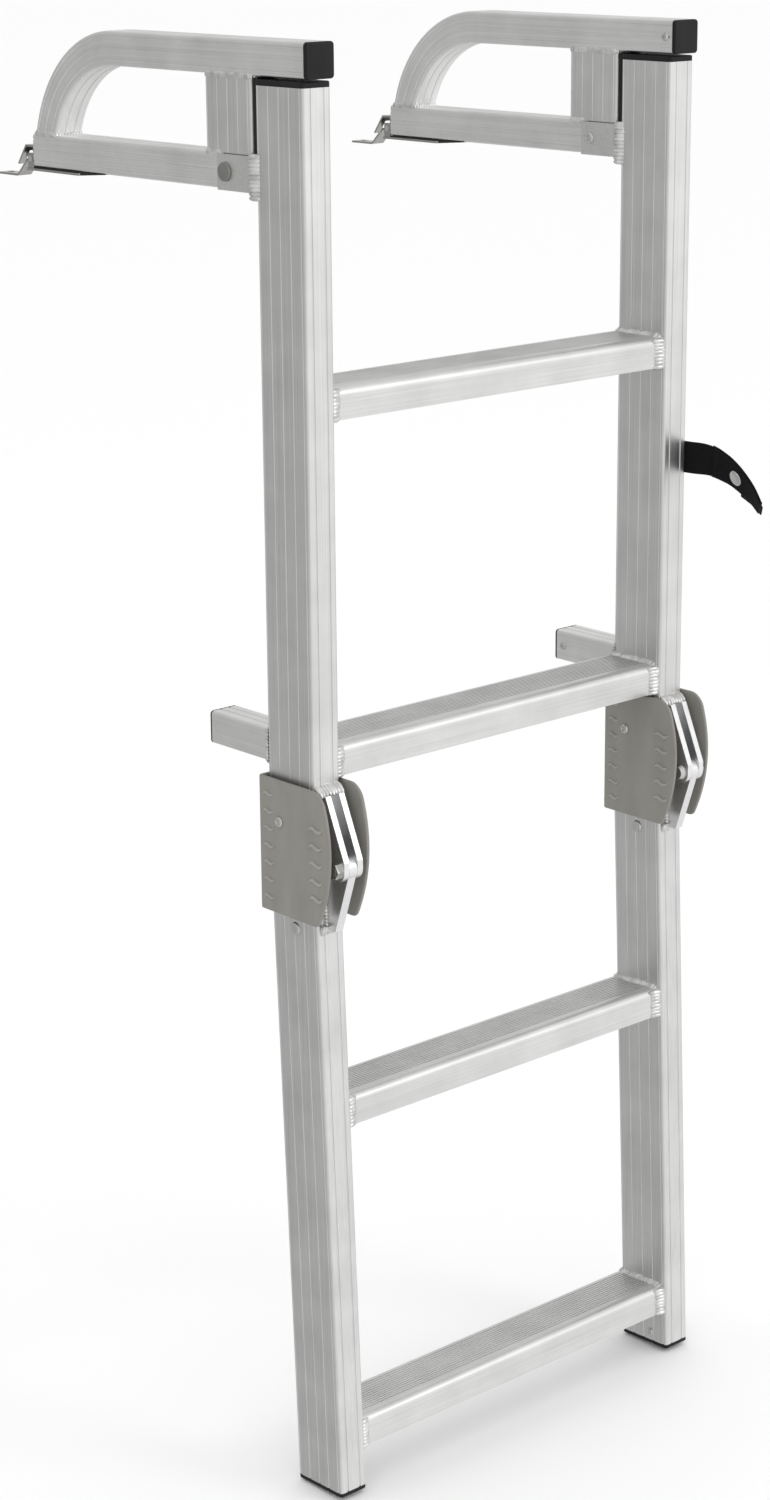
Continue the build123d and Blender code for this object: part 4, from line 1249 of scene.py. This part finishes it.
@dataclass
class Strap:
    """Webbing strap that hangs from the right rail, with its stitched keeper and snap. Millimetres."""

    shop: Workshop
    face_x: float = 194.0
    width: float = 25.0
    thick: float = 1.3
    stations: tuple[Point, ...] = (
        (0.9, -8.0, -228.0),
        (0.9, -50.0, -228.0),
        (1.9, -73.4, -227.6),
        (3.0, -90.0, -231.5),
        (3.6, -102.0, -237.0),
        (3.9, -116.0, -247.0),
        (4.2, -126.0, -258.0),
    )
    twist: float = math.radians(38.0)
    twist_from: float = 0.42
    keeper: tuple[int, int] = (33, 60)
    tail: tuple[int, int] = (48, 60)
    tail_drop: float = 9.5
    steps: int = 60
    columns: int = 10
    screw_y: float = -22.0
    snap_step: float = 45.0
    snap_radius: float = 6.5
    ring_margin: float = 1.2
    screw_radius: float = 5.5
    dense_parts: int = 24
    rim_thinning: float = 0.35
    thread_radius: float = 0.16
    thread_sink: float = 0.05
    stitch_length: float = 1.4
    stitch_pitch: float = 1.8

    def path(self) -> list[Vector]:
        """Evenly spaced places down the middle of the strap, rounded at the stations."""
        knots = [Vector((self.face_x + out, y, z)) for out, y, z in self.stations]
        dense: list[Vector] = []
        for index in range(len(knots) - 1):
            before = knots[max(index - 1, 0)]
            start, end = knots[index], knots[index + 1]
            after = knots[min(index + 2, len(knots) - 1)]
            for part in range(self.dense_parts):
                t = part / self.dense_parts
                bend = (2 * before - 5 * start + 4 * end - after) * t**2
                turn = (3 * start - before - 3 * end + after) * t**3
                dense.append((2 * start + (end - before) * t + bend + turn) / 2)
        dense.append(knots[-1])
        lengths = [0.0]
        for first, second in zip(dense, dense[1:]):
            lengths.append(lengths[-1] + (second - first).length)
        made: list[Vector] = []
        spot = 0
        for step in range(self.steps + 1):
            wanted = lengths[-1] * step / self.steps
            while spot < len(dense) - 2 and lengths[spot + 1] < wanted:
                spot += 1
            share = (wanted - lengths[spot]) / (lengths[spot + 1] - lengths[spot])
            made.append(dense[spot].lerp(dense[spot + 1], min(share, 1.0)))
        return made

    def frames(self) -> list[tuple[Vector, Vector, Vector]]:
        """Place, direction across the width and outward normal at each step."""
        path = self.path()
        made: list[tuple[Vector, Vector, Vector]] = []
        for step, place in enumerate(path):
            along = (path[min(step + 1, self.steps)] - path[max(step - 1, 0)]).normalized()
            normal = (Vector((1.0, 0.0, 0.0)) - along * along.x).normalized()
            late = max(step / self.steps - self.twist_from, 0.0) / (1.0 - self.twist_from)
            normal = Matrix.Rotation(self.twist * late, 3, along) @ normal
            made.append((place, normal.cross(along).normalized(), normal))
        return made

    def length(self) -> float:
        """Length of the strap, in metres."""
        path = self.path()
        return sum((second - first).length for first, second in zip(path, path[1:])) * MM

    def band(
        self, name: str, span: tuple[int, int], lift: float, width: float, drop: float = 0.0
    ) -> bpy.types.Object:
        """A woven band that follows the strap between two steps, with a UV map along it."""
        first, last = span
        frames = self.frames()[first : last + 1]
        pitch = self.length() / self.steps
        half = self.thick / 2
        profile: list[tuple[float, float]] = []
        for step in range(self.columns + 1):
            profile.append((-1.0 + 2.0 * step / self.columns, 1.0))
        profile.extend((across, -1.0) for across, _ in reversed(profile[:]))
        rings: list[list[Point]] = []
        for place, across, normal in frames:
            ring: list[Point] = []
            for share, face in profile:
                edge = self.rim_thinning if abs(share) > 0.999 else 1.0
                spot = place + across * (share * width / 2 + drop) + normal * (lift + face * half * edge)
                ring.append(metres(spot))
            rings.append(ring)
        mesh = ring_mesh(name, rings)
        made = new_object(name, mesh)
        layer = mesh.uv_layers.new(name="webbing")
        count = len(profile)
        for loop in mesh.loops:
            row, column = divmod(loop.vertex_index, count)
            share = (profile[column][0] + 1.0) / 2.0
            layer.data[loop.index].uv = (share, (first + row) * pitch)
        mesh.materials.append(self.shop.finish("webbing"))
        return settle(made, UPPER_BODY)

    def stitches(self, pattern: Pattern) -> bpy.types.Object:
        """Rows of stitching that hold the keeper down."""
        rings = [
            [(along, across, up + self.thread_sink) for across, up in circle(self.thread_radius, 8)]
            for along in (-0.5, -0.25, 0.0, 0.25, 0.5)
        ]
        master = new_object("stitch_master", ring_mesh("stitch_master", rings))
        frames = self.frames()
        seats: list[Run] = []
        first = self.keeper[0] + 2
        lift = -self.thick * 1.5 - 0.1
        for row in (first, first + 9):
            place, across, normal = frames[row]
            for step in range(-6, 7):
                spot = place + across * (step * self.stitch_pitch) + normal * lift
                seats.append([(metres(spot), tuple(-normal))])
        thread = self.shop.finish("thread")
        along = tuple(frames[first][1])
        made = place_master(
            pattern, "strap_stitches", master, seats, self.stitch_length * MM, thread, along
        )
        bpy.data.objects.remove(master)
        return settle(made, UPPER_BODY)

    def button(
        self, pattern: Pattern, name: str, head: Head, radius: float, step: float, lift: float,
        node: str | None = None,
    ) -> bpy.types.Object:
        """One round metal part set on the strap."""
        place, _, normal = self.frames()[round(step)]
        spot = place + normal * lift
        seat = [(metres(spot), tuple(normal * (1.0 if lift > 0 else -1.0)))]
        master = head.make()
        steel = self.shop.finish("steel")
        made = place_master(pattern, name, master, [seat], radius * MM, steel)
        bpy.data.objects.remove(master)
        return settle(made, UPPER_BODY, node)

    def build(self, pattern: Pattern) -> None:
        """Make the strap with everything on it."""
        band = self.band("strap_webbing", (0, self.steps), 0.0, self.width)
        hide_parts("strap")
        keeper = self.band("strap_keeper", self.keeper, -self.thick - 0.05, self.width + 1.6, -1.0)
        tail = self.band("strap_tail", self.tail, self.thick + 0.05, self.width * 0.8, self.tail_drop)
        top = -self.thick * 1.5
        at, surface = self.snap_step, self.thick / 2
        cap = self.button(pattern, "snap_cap", SNAP_CAP, self.snap_radius, at, top, "strap_snap")
        ring = self.snap_radius - self.ring_margin
        socket = self.button(pattern, "snap_socket", SNAP_RING, ring, at, surface)
        screw_step = self.steps * (self.stations[0][1] - self.screw_y) * MM / self.length()
        screw = self.button(
            pattern, "strap_screw_head", DOME_SOCKET, self.screw_radius, screw_step, surface, "strap_screw"
        )
        stitches = self.stitches(pattern)
        LOG.info("strap: %.4f m long", self.length())


def dress_cad(shop: Workshop) -> None:
    """Give every CAD node its finish."""
    by_slot = {
        "rail_aluminium": "rail",
        "step_aluminium": "step",
        "plate_aluminium": "plate",
        "machined_aluminium": "edge",
        "fastener_steel": "steel",
        "spring_steel": "sheet",
        "guard_plastic": "guard",
        "black_plastic": "black",
        "black_rubber": "rubber",
        "nylon": "nylon",
        "webbing": "webbing",
    }
    by_name = {
        "handle_tube": "bend",
        "deck_bar": "tube",
        "standoff": "tube",
    }
    for row in frame["record"]["subparts"]:
        node = row["node"]
        special = [finish for word, finish in by_name.items() if node.endswith(word)]
        shop.dress(node, special[0] if special else by_slot[row["material_slot"]])


@dataclass
class Studio:
    """Camera, lights and floor. Metres and radians."""

    shop: Workshop
    azimuth: float = 0.72578
    elevation: float = 0.28437
    roll: float = -0.008539
    lens: float = 73.63
    stand: Point = (-1.5591, -1.6680, 0.2284)
    floor_gap: float = 0.0015
    floor_size: float = 120.0
    bright_way: Point = (0.66, -0.74, 0.1)
    sky_level: float = 0.89
    sky_swing: float = 0.32
    sky_even: float = 1.36

    def camera(self) -> None:
        """Create the scene's camera."""
        cos_el, sin_el = math.cos(self.elevation), math.sin(self.elevation)
        forward = Vector(
            (math.sin(self.azimuth) * cos_el, math.cos(self.azimuth) * cos_el, -sin_el)
        )
        level = forward.cross(Vector((0.0, 0.0, 1.0))).normalized()
        upright = level.cross(forward)
        cos, sin = math.cos(self.roll), math.sin(self.roll)
        right = level * cos + upright * sin
        up = upright * cos - level * sin
        data = bpy.data.cameras.new("camera")
        data.lens = self.lens
        data.sensor_width = 36.0
        data.clip_end = 100.0
        seer = bpy.data.objects.new("camera", data)
        turn = Matrix((right, up, -forward)).transposed().to_4x4()
        seer.matrix_world = Matrix.Translation(self.stand) @ turn
        bpy.context.scene.collection.objects.link(seer)
        bpy.context.scene.camera = seer

    def lamp(self, name: str, at: Point, towards: Point, size: float, watts: float) -> None:
        """Add a soft area light."""
        data = bpy.data.lights.new(name, "AREA")
        data.shape = "SQUARE"
        data.size = size
        data.energy = watts
        lamp = bpy.data.objects.new(name, data)
        way = Vector(towards) - Vector(at)
        lamp.matrix_world = Matrix.Translation(at) @ way.to_track_quat("-Z", "Y").to_matrix().to_4x4()
        bpy.context.scene.collection.objects.link(lamp)

    def surroundings(self) -> None:
        """Soft white surroundings, brighter in front of the ladder than behind its left side."""
        world = bpy.data.worlds.new("studio")
        bpy.context.scene.world = world
        world.use_nodes = True
        sky = Graph(world.node_tree)
        towards = sky.add("ShaderNodeTexCoord", output="Generated")
        facing = sky.add(
            "ShaderNodeVectorMath", {"operation": "DOT_PRODUCT"}, {0: towards, 1: self.bright_way}, "Value"
        )
        shiny = sky.add("ShaderNodeLightPath", output="Is Glossy Ray")
        graded = (self.sky_level + facing * self.sky_swing).largest(0.12)
        strength = self.sky_even + shiny * (graded - self.sky_even)
        glow = sky.add("ShaderNodeBackground", inputs={"Strength": strength})
        sky.add("ShaderNodeOutputWorld", inputs={"Surface": glow})

    def build(self) -> None:
        """Set up the studio."""
        self.camera()
        bpy.context.scene.view_settings.view_transform = "Standard"
        middle = (0.0, 0.0, -0.4)
        self.lamp("key", (1.3, -2.9, 1.2), middle, 1.2, 16.0)
        self.surroundings()
        low = CAD_BOX[0][2] - self.floor_gap
        half = self.floor_size / 2
        corners = ((-half, -half, low), (half, -half, low), (half, half, low), (-half, half, low))
        mesh = bpy.data.meshes.new("floor")
        mesh.from_pydata(corners, [], [(0, 1, 2, 3)])
        floor = new_object("floor", mesh)
        floor.data.materials.append(Paint("floor_paint", (0.92, 0.92, 0.92)).make())
        floor.visible_glossy = False


def main() -> None:
    """Build the whole ladder in order."""
    logging.basicConfig(level=logging.INFO, format="%(name)s: %(message)s")
    shop = Workshop()
    Studio(shop).build()
    dress_cad(shop)
    lenses, masters = along_path_pattern(), placing_pattern()
    Welds(shop).build(lenses)
    Fasteners(shop).build(masters)
    for side in Side:
        HingeGuard(shop, side).build(masters)
    Strap(shop).build(masters)


if __name__ == "__main__":
    main()
